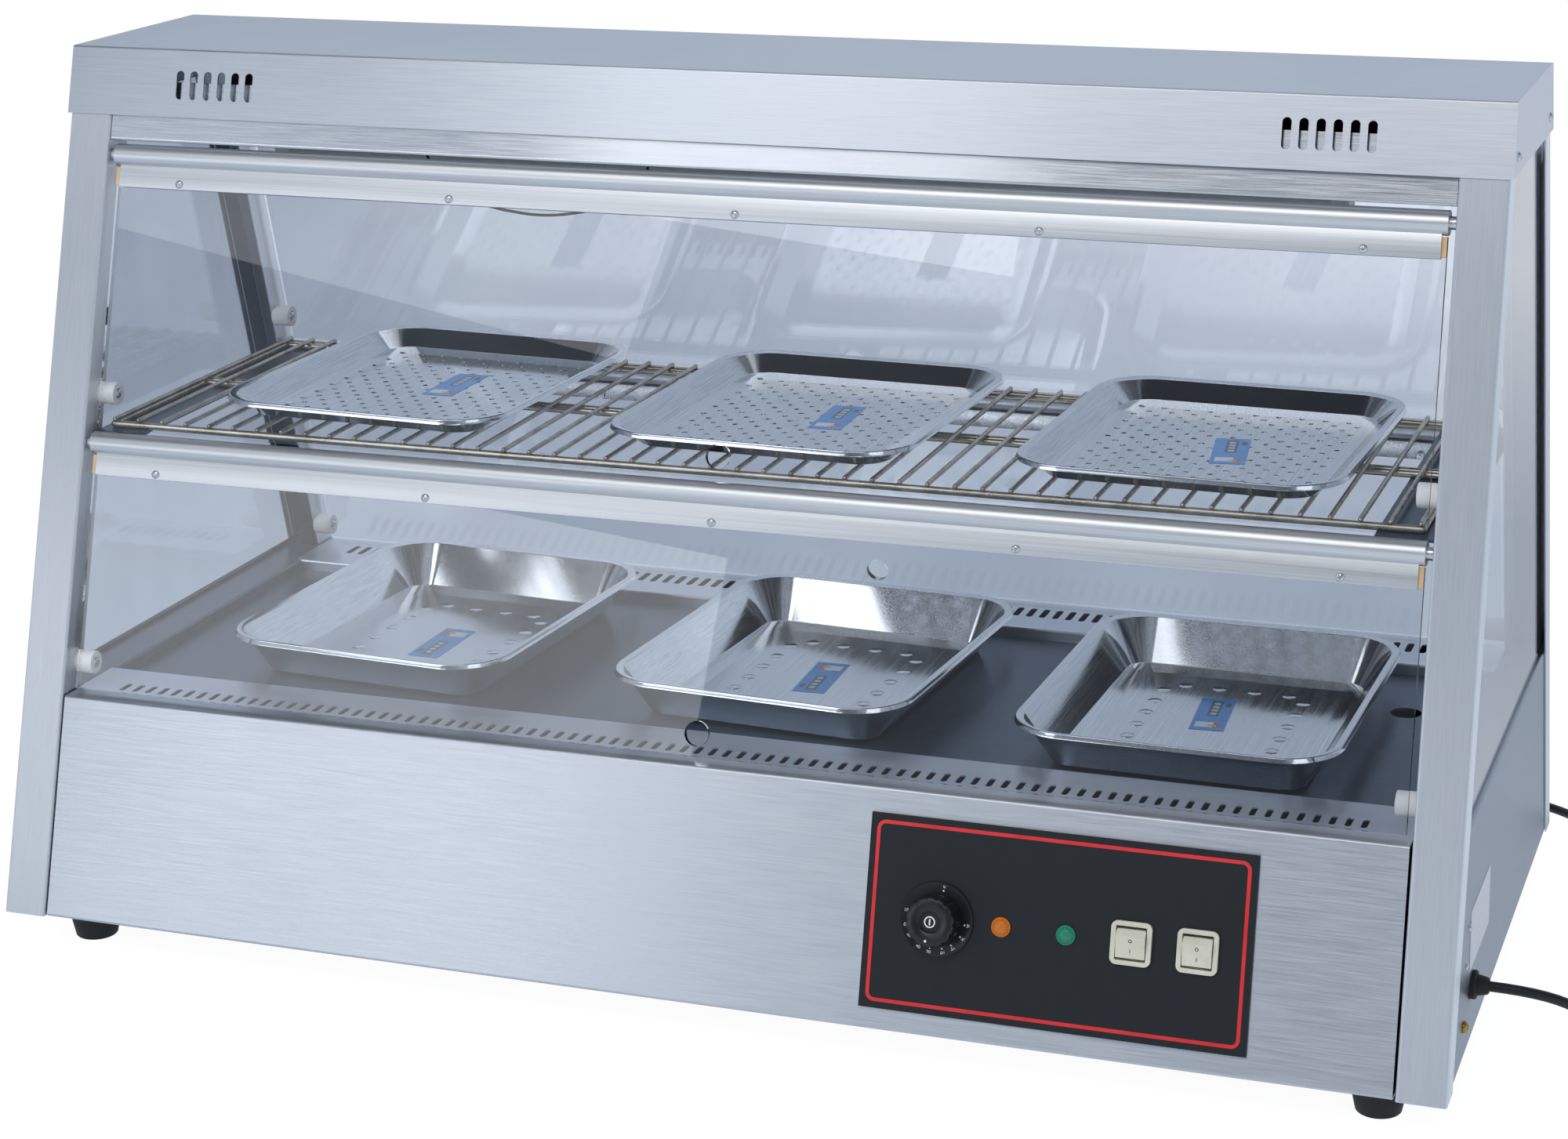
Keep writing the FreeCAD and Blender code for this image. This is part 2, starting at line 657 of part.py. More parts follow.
def bent_outline_solid(outline, half):
    """The cap's outside as a solid block with its two long edges rounded."""
    solid = polygon(outline, in_yz(-half)).extrude(V(2 * half, 0, 0))
    long_edges = [edge for edge in solid.Edges
                  if abs(edge.Length - 2 * half) < 1e-6 and edge.BoundBox.ZMin > CAP_TOP - 1e-6]
    return solid.makeFillet(BEND + SHEET, long_edges)


def vent_tools():
    tools = []
    line = up_slope(VENT_HEIGHT)
    for middle in (-VENT_MIDDLE_X, VENT_MIDDLE_X):
        for offset in spread(VENT_COUNT, VENT_PITCH):
            face = obround(VENT_WIDTH, VENT_LENGTH, middle + offset, line, in_xz(-2 * CAP_OVERHANG))
            tools.append(on_front(face.extrude(V(0, 2 * CAP_OVERHANG, 0))))
    return tools + [to_rear(tool) for tool in tools]


def cap_screw_holes():
    holes = []
    for side in (-1, 1):
        for y in (-CAP_SCREW_Y, CAP_SCREW_Y):
            x = side * LENGTH / 2
            holes.append(rod_x(x - 3 * SHEET, x + 3 * SHEET, y, BODY_TOP + CAP_SCREW_RISE, CAP_SCREW_SHANK + 0.2))
    return group(holes)


def header_panel():
    lower, upper = HEADER_BOTTOM, BODY_HEIGHT + CAP_HEIGHT / 2
    face = face_y(lower, HEADER_RECESS)
    profile = [(face + LIP, lower), (face, lower), (face_y(upper, HEADER_RECESS), upper)]
    half = RETURN_FACE - PANEL_GAP / 4
    place = lambda y, z: V(-half, y, z + FOOT_HEIGHT)
    return bent_sheet(profile, -1, place).extrude(V(2 * half, 0, 0))


def ceiling_panel():
    low = CEILING_UNDERSIDE
    half_x = RETURN_FACE - PANEL_GAP / 2
    half_y = -face_y(HEADER_BOTTOM, HEADER_RECESS + SHEET) - 2 * BEND
    return block((-half_x, -half_y, low), (half_x, half_y, low + SHEET))


def lamp_tube():
    """Glass tube with its metal end caps and contact pins."""
    glass = rod_x(-LAMP_LENGTH / 2, LAMP_LENGTH / 2, 0, LAMP_Z, LAMP_DIAMETER)
    pieces = [glass]
    for side in (-1, 1):
        for offset in (-LAMP_PIN_OFFSET, LAMP_PIN_OFFSET):
            end = side * LAMP_LENGTH / 2
            pieces.append(rod_x(end, end + side * LAMP_PIN_LENGTH, offset, LAMP_Z, LAMP_PIN))
    return one_solid(pieces)


def lamp_holder():
    """Holder at the right end of the lamp, hung from the ceiling."""
    start = LAMP_LENGTH / 2 + FIT
    radius = LAMP_DIAMETER / 2
    body = block((start, -radius, LAMP_Z - radius), (start + LAMP_HOLDER, radius, CEILING_UNDERSIDE))
    pins = [rod_x(start - SHEET, start + LAMP_PIN_LENGTH + 1, offset, LAMP_Z, LAMP_PIN + 0.2)
            for offset in (-LAMP_PIN_OFFSET, LAMP_PIN_OFFSET)]
    return body.cut(group(pins))


def lamp_lead():
    """Thin lead that sags from one hole in the ceiling to another, in front of the lamp."""
    shares = [(0, 0), (0, 0.24), (0.09, 0.65), (0.28, 0.91), (0.53, 1), (0.75, 0.88), (0.93, 0.62),
              (1, 0.24), (1, 0)]
    points = [V(LEAD_LEFT + LEAD_SPAN * along, LEAD_Y, CEILING_UNDERSIDE - LEAD_SAG * down)
              for along, down in shares]
    return tube_along(points, LEAD_DIAMETER, "lamp_lead")


# Side glass with the angle strips that hold it in the posts.
def side_glass():
    prism = lean_prism(CHANNEL_GRIP, SIDE_TOP, BODY_HEIGHT + PANEL_GAP)
    slab = block((SIDE_GLASS_INNER, -HALF_DEPTH, 0), (SIDE_GLASS_INNER + SIDE_GLASS, HALF_DEPTH, CAP_TOP))
    return slab.common(prism)


def glass_retainer():
    """Angle strip in the front right post, in the face frame."""
    profile = [(SIDE_GLASS_INNER, POST_FLANGE), (SIDE_GLASS_INNER, SHEET), (RETURN_FACE + 3 * SHEET, SHEET)]
    low, high = up_slope(SIDE_TOP) + POST_RETURN * TAN, up_slope(HEADER_BOTTOM)
    return bent_sheet(profile, -1, in_xy(low)).extrude(V(0, 0, high - low))


def bumper(place):
    """Nylon bumper on the right post, in the face frame, with a counterbore for its screw."""
    body = rod_x(RETURN_FACE - BUMPER_LENGTH, RETURN_FACE, *place, BUMPER_DIAMETER)
    bore = rod_x(RETURN_FACE - BUMPER_LENGTH, RETURN_FACE, *place, BUMPER_BORE)
    seat = rod_x(RETURN_FACE - BUMPER_LENGTH, RETURN_FACE - BUMPER_LENGTH + BUMPER_SEAT_DEPTH, *place,
                 BUMPER_SEAT)
    return body.cut(bore).cut(seat)


def bumper_screw(place):
    seat = RETURN_FACE - BUMPER_LENGTH + BUMPER_SEAT_DEPTH
    head = rod_x(seat - BUMPER_HEAD_HEIGHT, seat, *place, BUMPER_HEAD)
    shank = rod_x(seat, RETURN_FACE + 4 * SHEET, *place, BUMPER_BORE - 0.2)
    return one_solid([head, shank])


def cap_screw(side, y):
    """Dome-headed screw through the cap's end into the post's flange."""
    skin = LENGTH / 2 + CAP_OVERHANG
    z = BODY_TOP + CAP_SCREW_RISE
    head = dome_head(CAP_SCREW_HEAD, CAP_SCREW_DOME)
    head.rotate(ORIGIN, V(0, 0, 1), 90 * side)
    head.translate(V(side * skin, y, z))
    shank = rod_x(side * (skin - 5.0), side * (skin + 0.5), y, z, CAP_SCREW_SHANK)
    return one_solid([head, shank])


# Wire shelf: cross wires welded on rails, lying on two plates between the posts.
def wire_shelf():
    rails = [-SHELF_HALF_DEPTH + RAIL_DIAMETER / 2, -RAIL_PAIR / 2, RAIL_PAIR / 2,
             SHELF_HALF_DEPTH - RAIL_DIAMETER / 2 - RAIL_PAIR, SHELF_HALF_DEPTH - RAIL_DIAMETER / 2]
    pieces = [rod_x(-SHELF_HALF_LENGTH, SHELF_HALF_LENGTH, y, RAIL_Z, RAIL_DIAMETER) for y in rails]
    for side in (-1, 1):
        x = side * (SHELF_HALF_LENGTH - RAIL_DIAMETER / 2)
        pieces.append(rod(V(x, rails[0], RAIL_Z), V(x, rails[-1], RAIL_Z), RAIL_DIAMETER))
    count = int(WIRE_ROW / WIRE_PITCH) + 1
    for x in spread(count, WIRE_PITCH):
        pieces.append(rod(V(x, -SHELF_HALF_DEPTH, WIRE_Z), V(x, SHELF_HALF_DEPTH, WIRE_Z), WIRE_DIAMETER))
    return pieces[0].multiFuse(pieces[1:])


def shelf_ledge():
    """Right ledge: an angle whose upright leg is welded to the returns of both posts."""
    top = RAIL_Z - RAIL_DIAMETER / 2
    reach = -face_y(top - FOOT_HEIGHT, GLASS_BACK) - PANEL_GAP
    profile = [(RETURN_FACE, top - SHELF_LEDGE_LEG), (RETURN_FACE, top), (RETURN_FACE - SHELF_LEDGE, top)]
    place = lambda x, z: V(x, -reach, z)
    return bent_sheet(profile, 1, place, thickness=SHELF_LEDGE_SHEET).extrude(V(0, 2 * reach, 0))


# Trays and pans. The wall's section runs from the rolled rim to the floor; it is swept along
# the sides and turned round the corners.
def drawn_tray(length, depth, inset):
    """Tray centred on the origin, its underside at z = 0 and its rim at z = depth."""
    under_rim = depth - TRAY_SHEET
    section = [(TRAY_SHEET, depth - RIM_ROLL), (TRAY_SHEET, under_rim), (RIM_WIDTH, under_rim), (inset, 0),
               (TRAY_CORNER - FLOOR_CORNER, 0)]
    half_x, half_y = TRAY_WIDTH / 2, length / 2
    flat_x, flat_y = half_x - TRAY_CORNER, half_y - TRAY_CORNER
    place = lambda u, v: V(half_x - u, -flat_y, v)
    wall = bent_sheet(section, 1, place, thickness=TRAY_SHEET, bend=TRAY_BEND)
    pieces = [wall.extrude(V(0, 2 * flat_y, 0))]
    pieces.append(pieces[0].copy())
    pieces[1].rotate(ORIGIN, V(0, 0, 1), 180)
    place_end = lambda u, v: V(-flat_x, half_y - u, v)
    end_wall = bent_sheet(section, 1, place_end, thickness=TRAY_SHEET, bend=TRAY_BEND)
    end_wall = end_wall.extrude(V(2 * flat_x, 0, 0))
    pieces.append(end_wall)
    pieces.append(end_wall.copy())
    pieces[3].rotate(ORIGIN, V(0, 0, 1), 180)
    for quarter in range(4):
        side_x = 1 if quarter in (0, 3) else -1
        side_y = 1 if quarter in (0, 1) else -1
        centre = V(side_x * flat_x, side_y * flat_y, 0)
        angle = math.radians(90 * quarter)
        place_corner = lambda u, v: centre.add(V((TRAY_CORNER - u) * math.cos(angle),
                                                 (TRAY_CORNER - u) * math.sin(angle), v))
        corner_wall = bent_sheet(section, 1, place_corner, thickness=TRAY_SHEET, bend=TRAY_BEND)
        pieces.append(corner_wall.revolve(centre, V(0, 0, 1), 90))
    inner = TRAY_CORNER - FLOOR_CORNER
    floor = rounded_face(TRAY_WIDTH - 2 * inner, length - 2 * inner, FLOOR_CORNER, in_xy())
    pieces.append(floor.extrude(V(0, 0, TRAY_SHEET)))
    return one_solid(pieces)


def pan():
    """Deep pan with a ring of round marks pressed up in its floor."""
    body = drawn_tray(PAN_LENGTH, PAN_DEPTH, PAN_INSET)
    marks = []
    half_w, half_l = DIMPLE_RING_WIDTH / 2, DIMPLE_RING_LENGTH / 2
    places = [(x, side * half_l) for x in spread(4, DIMPLE_RING_WIDTH / 4) for side in (-1, 1)]
    places += [(side * half_w, y) for y in spread(6, DIMPLE_RING_LENGTH / 6) for side in (-1, 1)]
    for x, y in places:
        marks.append(Part.makeCylinder(DIMPLE / 2, TRAY_SHEET + DIMPLE_RISE, V(x, y, 0)))
    return one_solid([body] + marks)


def perforated_tray():
    body = drawn_tray(TRAY_LENGTH, TRAY_DEPTH, TRAY_INSET)
    holes = []
    for row, y in enumerate(spread(TRAY_HOLE_ROWS, TRAY_HOLE_PITCH_Y)):
        count = TRAY_HOLE_COLUMNS - row % 2
        for x in spread(count, TRAY_HOLE_PITCH_X):
            holes.append(Part.makeCylinder(TRAY_HOLE / 2, 3 * TRAY_SHEET, V(x, y, -TRAY_SHEET)))
    return body.cut(group(holes))


def laid(shape, place, height):
    """A tray turned about its middle and laid at its place."""
    x, y, turn = place
    moved = shape.copy()
    moved.rotate(ORIGIN, V(0, 0, 1), turn)
    moved.translate(V(x, y, height))
    return moved


# Controls, in the face frame.
def control_plate():
    half = CONTROL_WIDTH / 2
    plate = block((CONTROL_MIDDLE_X - half, PLATE_FRONT, CONTROL_BOTTOM),
                  (CONTROL_MIDDLE_X + half, PANEL_RECESS, CONTROL_BOTTOM + CONTROL_HEIGHT))
    return plate.cut(control_holes())


def dial_plate():
    """Fixed dished ring round the knob, which carries the numbers."""
    outer, inner = DIAL_DIAMETER / 2, KNOB_DIAMETER / 2
    section = [(SHAFT_DIAMETER, 0), (outer, 0), (outer, DIAL_RIM), (outer - 1.0, DIAL_RIM),
               (inner + 0.6, 1.0), (SHAFT_DIAMETER, 1.0)]
    face = polygon(section, lambda r, h: V(r, PLATE_FRONT - h, 0))
    ring = face.revolve(V(0, PLATE_FRONT, 0), V(0, 1, 0), 360)
    return ring.translated(V(control_places()[0], 0, CONTROL_LINE))


def knob():
    """Fluted knob with a recessed middle and the shaft that turns with it."""
    radius = KNOB_DIAMETER / 2
    back = PLATE_FRONT - 1.0 - FIT
    front = back - KNOB_HEIGHT
    section = [(0, back), (radius, back), (radius - KNOB_EDGE, front + KNOB_EDGE),
               (radius - 2 * KNOB_EDGE, front), (KNOB_DISH, front), (KNOB_DISH - 1.0, front + KNOB_EDGE),
               (0, front + KNOB_EDGE)]
    face = polygon(section, lambda r, y: V(r, y, 0))
    body = face.revolve(ORIGIN, V(0, 1, 0), 360)
    flutes = []
    for index in range(KNOB_FLUTES):
        angle = math.radians(360.0 / KNOB_FLUTES * (index + 0.5))
        x, z = (radius + FLUTE_OFFSET) * math.cos(angle), (radius + FLUTE_OFFSET) * math.sin(angle)
        flutes.append(rod(V(x, front - 1.0, z), V(x, back - KNOB_SKIRT, z), FLUTE_TOOL))
    body = body.cut(group(flutes))
    shaft = rod(V(0, back - 1.0, 0), V(0, PANEL_RECESS + SHEET + SHAFT_GRIP, 0), SHAFT_DIAMETER)
    return one_solid([body, shaft]).translated(V(control_places()[0], 0, CONTROL_LINE))


def thermostat():
    """Thermostat body on the back of the panel, and its bulb clipped under the warming plate."""
    x = control_places()[0]
    start = PANEL_RECESS + SHEET
    half = THERMOSTAT_SIZE / 2
    body = block((x - half, start, CONTROL_LINE - half),
                 (x + half, start + THERMOSTAT_LENGTH, CONTROL_LINE + half))
    end = start + SHAFT_GRIP + 2.0
    bore = rod(V(x, start, CONTROL_LINE), V(x, end, CONTROL_LINE), SHAFT_DIAMETER + 2 * PIN_PLAY)
    bulb_z = PLATE_UNDERSIDE - BULB_DIAMETER / 2 - 0.5
    bulb = rod_x(x - BULB_LENGTH / 2, x + BULB_LENGTH / 2, 0, bulb_z, BULB_DIAMETER)
    clips = []
    for middle in (x - BULB_CLIP_OFFSET, x + BULB_CLIP_OFFSET):
        clips.append(block((middle - BULB_CLIP / 2, -BULB_DIAMETER, PLATE_UNDERSIDE - BULB_DIAMETER - 1.5),
                           (middle + BULB_CLIP / 2, BULB_DIAMETER, PLATE_UNDERSIDE)))
    return group([on_front(body.cut(bore)), one_solid([bulb] + clips)])


def pilot_lamp(x):
    """Lens with its bezel, and the barrel that passes through the panel."""
    front = PLATE_FRONT - BEZEL_HEIGHT
    bezel = rod(V(x, front, CONTROL_LINE), V(x, PLATE_FRONT, CONTROL_LINE), LAMP_LENS)
    lens = dome_head(LAMP_BARREL, LENS_RISE).translated(V(x, front, CONTROL_LINE))
    back = PANEL_RECESS + LAMP_BARREL_LENGTH
    barrel = rod(V(x, PLATE_FRONT, CONTROL_LINE), V(x, back, CONTROL_LINE), LAMP_BARREL)
    return one_solid([bezel, lens, barrel])


def switch_frame(x):
    """Frame and housing of one rocker switch, open at the front."""
    face = rounded_face(FRAME_WIDTH, FRAME_HEIGHT, FRAME_CORNER, in_xz(PLATE_FRONT - FRAME_THICKNESS))
    frame = face.extrude(V(0, FRAME_THICKNESS, 0))
    well_x = ROCKER_WIDTH / 2 + ROCKER_GAP
    well_z = ROCKER_WELL / 2
    back = PLATE_FRONT + HOUSING_LENGTH
    housing = block((-well_x - HOUSING_WALL, PLATE_FRONT - 1.0, -well_z - HOUSING_WALL),
                    (well_x + HOUSING_WALL, back, well_z + HOUSING_WALL))
    well = block((-well_x, PLATE_FRONT - 2 * FRAME_THICKNESS, -well_z), (well_x, back - HOUSING_WALL, well_z))
    pin = rod_x(-well_x - HOUSING_WALL, well_x + HOUSING_WALL, ROCKER_AXIS, 0, ROCKER_PIN + 2 * PIN_PLAY)
    body = frame.fuse(housing).cut(well).cut(pin)
    return body.translated(V(x, 0, CONTROL_LINE))


def rocker(x):
    """Rocker with a flat face and a bevel above it, on its own pin."""
    edge = ROCKER_WELL / 2
    front = PLATE_FRONT - FRAME_THICKNESS
    ease = ROCKER_EASE
    section = [(front, -edge + ease), (front - ROCKER_PROUD, edge - 1.5 * ease - ROCKER_BEVEL),
               (front + ease, edge - 1.5 * ease), (ROCKER_AXIS + ease, edge - ease),
               (ROCKER_AXIS + ROCKER_PIN, 0), (ROCKER_AXIS + ease, -edge + ease)]
    half = ROCKER_WIDTH / 2
    body = polygon(section, in_yz(-half)).extrude(V(ROCKER_WIDTH, 0, 0))
    reach = half + ROCKER_GAP + HOUSING_WALL * 0.75
    pin = rod_x(-reach, reach, ROCKER_AXIS, 0, ROCKER_PIN)
    return one_solid([body, pin]).translated(V(x, 0, CONTROL_LINE))


# Heating and wiring.
def heating_element(middle_y):
    """Hairpin element with the straps that hold it under the warming plate."""
    under = PLATE_UNDERSIDE
    z = under - HEATER_DIAMETER / 2 - FIT
    radius = HEATER_SPREAD / 2
    straight = HEATER_LENGTH / 2
    legs = [rod_x(-straight, straight, middle_y + side * radius, z, HEATER_DIAMETER) for side in (-1, 1)]
    circle = Part.makeCircle(HEATER_DIAMETER / 2, V(straight, middle_y - radius, z), V(1, 0, 0))
    bow = Part.Face(Part.Wire(circle)).revolve(V(straight, middle_y, z), V(0, 0, 1), 180)
    straps = []
    reach = radius + STRAP_WIDTH / 2
    for x in (-straight + STRAP_INSET, 0.0, straight - STRAP_INSET):
        straps.append(block((x - STRAP_WIDTH / 2, middle_y - reach, under - HEATER_DIAMETER - STRAP_SHEET),
                            (x + STRAP_WIDTH / 2, middle_y + reach, under)))
    return one_solid(legs + [bow] + straps)


def terminal_block():
    """Row of terminals on the bottom tray, near the gland."""
    low = FOOT_HEIGHT + 2 * SHEET
    top = low + TERMINAL_HEIGHT
    base = block((TERMINAL_X - TERMINAL_LENGTH / 2, TERMINAL_Y - TERMINAL_WIDTH / 2, low),
                 (TERMINAL_X + TERMINAL_LENGTH / 2, TERMINAL_Y + TERMINAL_WIDTH / 2, top))
    screws = []
    for offset in spread(5, TERMINAL_PITCH):
        x = TERMINAL_X + offset
        screws.append(rod(V(x, TERMINAL_Y, top - 1.0), V(x, TERMINAL_Y, top + 1.0), TERMINAL_SCREW))
    return one_solid([base] + screws)


def rating_plate():
    """Bare plate on the right side."""
    middle = FOOT_HEIGHT + RATING_RISE
    return block((SIDE_SKIN, RATING_Y - RATING_WIDTH / 2, middle - RATING_HEIGHT / 2),
                 (SIDE_SKIN + RATING_SHEET, RATING_Y + RATING_WIDTH / 2, middle + RATING_HEIGHT / 2))


def cable_gland():
    """Nut, body and tapered relief; the cord leaves at its tip."""
    z = FOOT_HEIGHT + GLAND_RISE
    inner_skin = SIDE_SKIN - SHEET
    nut_face = SIDE_SKIN + GLAND_NUT_HEIGHT
    body = rod_x(SIDE_SKIN - GLAND_INSIDE, SIDE_SKIN + 1.0, GLAND_Y, z, GLAND_BORE - 0.4)
    nut = rod_x(SIDE_SKIN, nut_face, GLAND_Y, z, GLAND_NUT)
    taper = Part.makeCone(GLAND_BORE / 2, CORD_DIAMETER * 0.7, SIDE_SKIN + GLAND_REACH - nut_face + 1.0,
                          V(nut_face - 1.0, GLAND_Y, z), V(1, 0, 0))
    back_nut = rod_x(inner_skin - GLAND_BACK_NUT, inner_skin, GLAND_Y, z, GLAND_NUT)
    return one_solid([body, nut, taper, back_nut])


# Supply cord: a tube of straight runs and tangent arcs, then a coil behind the cabinet.
def tube_along(points, diameter, name):
    """Round tube along straight runs joined by arcs as large as the runs allow."""
    edges = []
    radii = []
    start = points[0]
    for before, corner, after in zip(points, points[1:], points[2:]):
        into, out = corner.sub(before), after.sub(corner)
        half_turn = into.getAngle(out) / 2
        cut_back = 0.45 * min(into.Length, out.Length)
        radius = cut_back / math.tan(half_turn)
        radii.append(round(radius, 1))
        into.normalize()
        out.normalize()
        leave = corner.sub(into * cut_back)
        meet = corner.add(out * cut_back)
        inward = out.sub(into)
        inward.normalize()
        centre = corner.add(inward * (radius / math.cos(half_turn)))
        edges.append(Part.makeLine(start, leave))
        edges.append(Part.Arc(leave, centre.sub(inward * radius), meet).toShape())
        start = meet
    edges.append(Part.makeLine(start, points[-1]))
    tube, length = swept_tube(edges, points[1].sub(points[0]), diameter)
    ratio = tube.Volume / (math.pi * diameter ** 2 / 4 * length)
    print(name, "length", round(length, 1), "radii", radii, "volume ratio", round(ratio, 4))
    return tube


def swept_tube(edges, along, diameter):
    path = Part.Wire(edges)
    start = edges[0].Vertexes[0].Point
    section = Part.Wire(Part.makeCircle(diameter / 2, start, along))
    return path.makePipeShell([section], True, False), path.Length


def cord_points():
    """Route of the cord on its way from the gland to the coil, chosen by hand."""
    return [V(611.5, -170.6, 75), V(650, -170.6, 75), V(686, -155, 56), V(700, -122, 31), V(703, -80, 12),
            V(700, -30, 4), V(695.5, 30, 4), V(688, 92, 4), V(685, 156, 4), V(679, 220, 4), V(667, 284, 4),
            V(648, 342, 4), V(608, 388, 4), V(556, 414, 4), V(520, 422.8, 4), V(488, 422.8, 4)]


def coil_point(quarter):
    """Middle line of the coil at a number of quarter turns: a layer in, a climb, a layer out."""
    layer = 4 * COIL_TURNS
    outer = COIL_MEAN / 2 + COIL_STEP * COIL_TURNS / 2
    inner = COIL_MEAN / 2 - COIL_STEP * COIL_TURNS / 2
    low = CORD_DIAMETER / 2
    if quarter <= layer:
        radius, z = outer - COIL_STEP * quarter / 4, low
    elif quarter <= layer + 2:
        climbed = (quarter - layer) / 2
        radius, z = inner - COIL_DIP * math.sin(math.pi * climbed), low + COIL_STEP * climbed
    else:
        radius, z = inner + COIL_STEP * (quarter - layer - 2) / 4, low + COIL_STEP
    angle = math.radians(90 * (quarter + 1))
    return V(COIL_X + radius * math.cos(angle), COIL_Y + radius * math.sin(angle), z)


def arc_middle(start, direction, end):
    """Middle of the arc that leaves the start along this direction and passes through the end."""
    chord = end.sub(start)
    half = direction.getAngle(chord) / 2
    towards = direction.add(chord * (1 / chord.Length))
    towards.normalize()
    return start.add(towards * (chord.Length / (2 * math.cos(half))))


def biarc(start, leaving, end, arriving):
    """Two tangent arcs between two points with their directions."""
    chord = end.sub(start)
    both = leaving.add(arriving)
    square = 2 * (1 - leaving.dot(arriving))
    linear = 2 * chord.dot(both)
    reach = (-linear + math.sqrt(linear ** 2 + 4 * square * chord.dot(chord))) / (2 * square)
    joint = start.add(leaving * reach).add(end.sub(arriving * reach)) * 0.5
    return [Part.Arc(start, arc_middle(start, leaving, joint), joint).toShape(),
            Part.Arc(joint, arc_middle(end, arriving * -1, joint), end).toShape()]


def cord_coil():
    """The rest of the cord, wound and put down close behind the cabinet."""
    last = 8 * COIL_TURNS + 2
    stations = []
    for quarter in range(last + 1):
        here = coil_point(quarter)
        ahead, behind = coil_point(min(quarter + 0.02, last)), coil_point(max(quarter - 0.02, 0))
        direction = ahead.sub(behind)
        direction.normalize()
        stations.append((here, direction))
    stations[0] = (stations[0][0], V(-1, 0, 0))
    stations[-1] = (stations[-1][0], V(1, 0, 0))
    entry = stations[0][0].sub(stations[0][1] * CORD_DIAMETER)
    leave = stations[-1][0].add(stations[-1][1] * COIL_TAIL)
    edges = [Part.makeLine(entry, stations[0][0])]
    for (start, leaving), (end, arriving) in zip(stations, stations[1:]):
        edges += biarc(start, leaving, end, arriving)
    edges.append(Part.makeLine(stations[-1][0], leave))
    coil, length = swept_tube(edges, stations[0][1], CORD_DIAMETER)
    ratio = coil.Volume / (math.pi * CORD_DIAMETER ** 2 / 4 * length)
    print("cord_coil length", round(length, 1), "volume ratio", round(ratio, 4),
          "least gap", round(least_gap(edges), 2))
    return coil


def least_gap(edges):
    """Smallest clear distance of the coil to itself, measured on points of its middle line."""
    points = []
    travelled = 0.0
    for edge in edges:
        for point in edge.discretize(Number=12)[:-1]:
            points.append(point)
    lengths = [0.0]
    for before, after in zip(points, points[1:]):
        travelled += after.sub(before).Length
        lengths.append(travelled)
    gap = LENGTH
    for i, point in enumerate(points):
        for j in range(i + 1, len(points)):
            if lengths[j] - lengths[i] > 6 * CORD_DIAMETER:
                gap = min(gap, point.sub(points[j]).Length - CORD_DIAMETER)
    return gap


def mains_plug():
    """Moulded plug with its relief and two round pins, lying beside the coil."""
    last = coil_point(8 * COIL_TURNS + 2)
    x, y, z = last.x + COIL_TAIL, last.y, last.z
    relief = Part.makeCone(CORD_DIAMETER * 0.6, CORD_DIAMETER * 0.8, PLUG_RELIEF, V(x, y, z), V(1, 0, 0))
    back = x + PLUG_RELIEF - 2.0
    front = back + PLUG_LENGTH
    body = rod_x(back, front, y, z, 2 * z - 0.2)
    pins = [rod_x(front, front + PLUG_PIN_LENGTH, y + offset, z, PLUG_PIN)
            for offset in (-PLUG_PIN_OFFSET, PLUG_PIN_OFFSET)]
    return one_solid([relief, body] + pins)


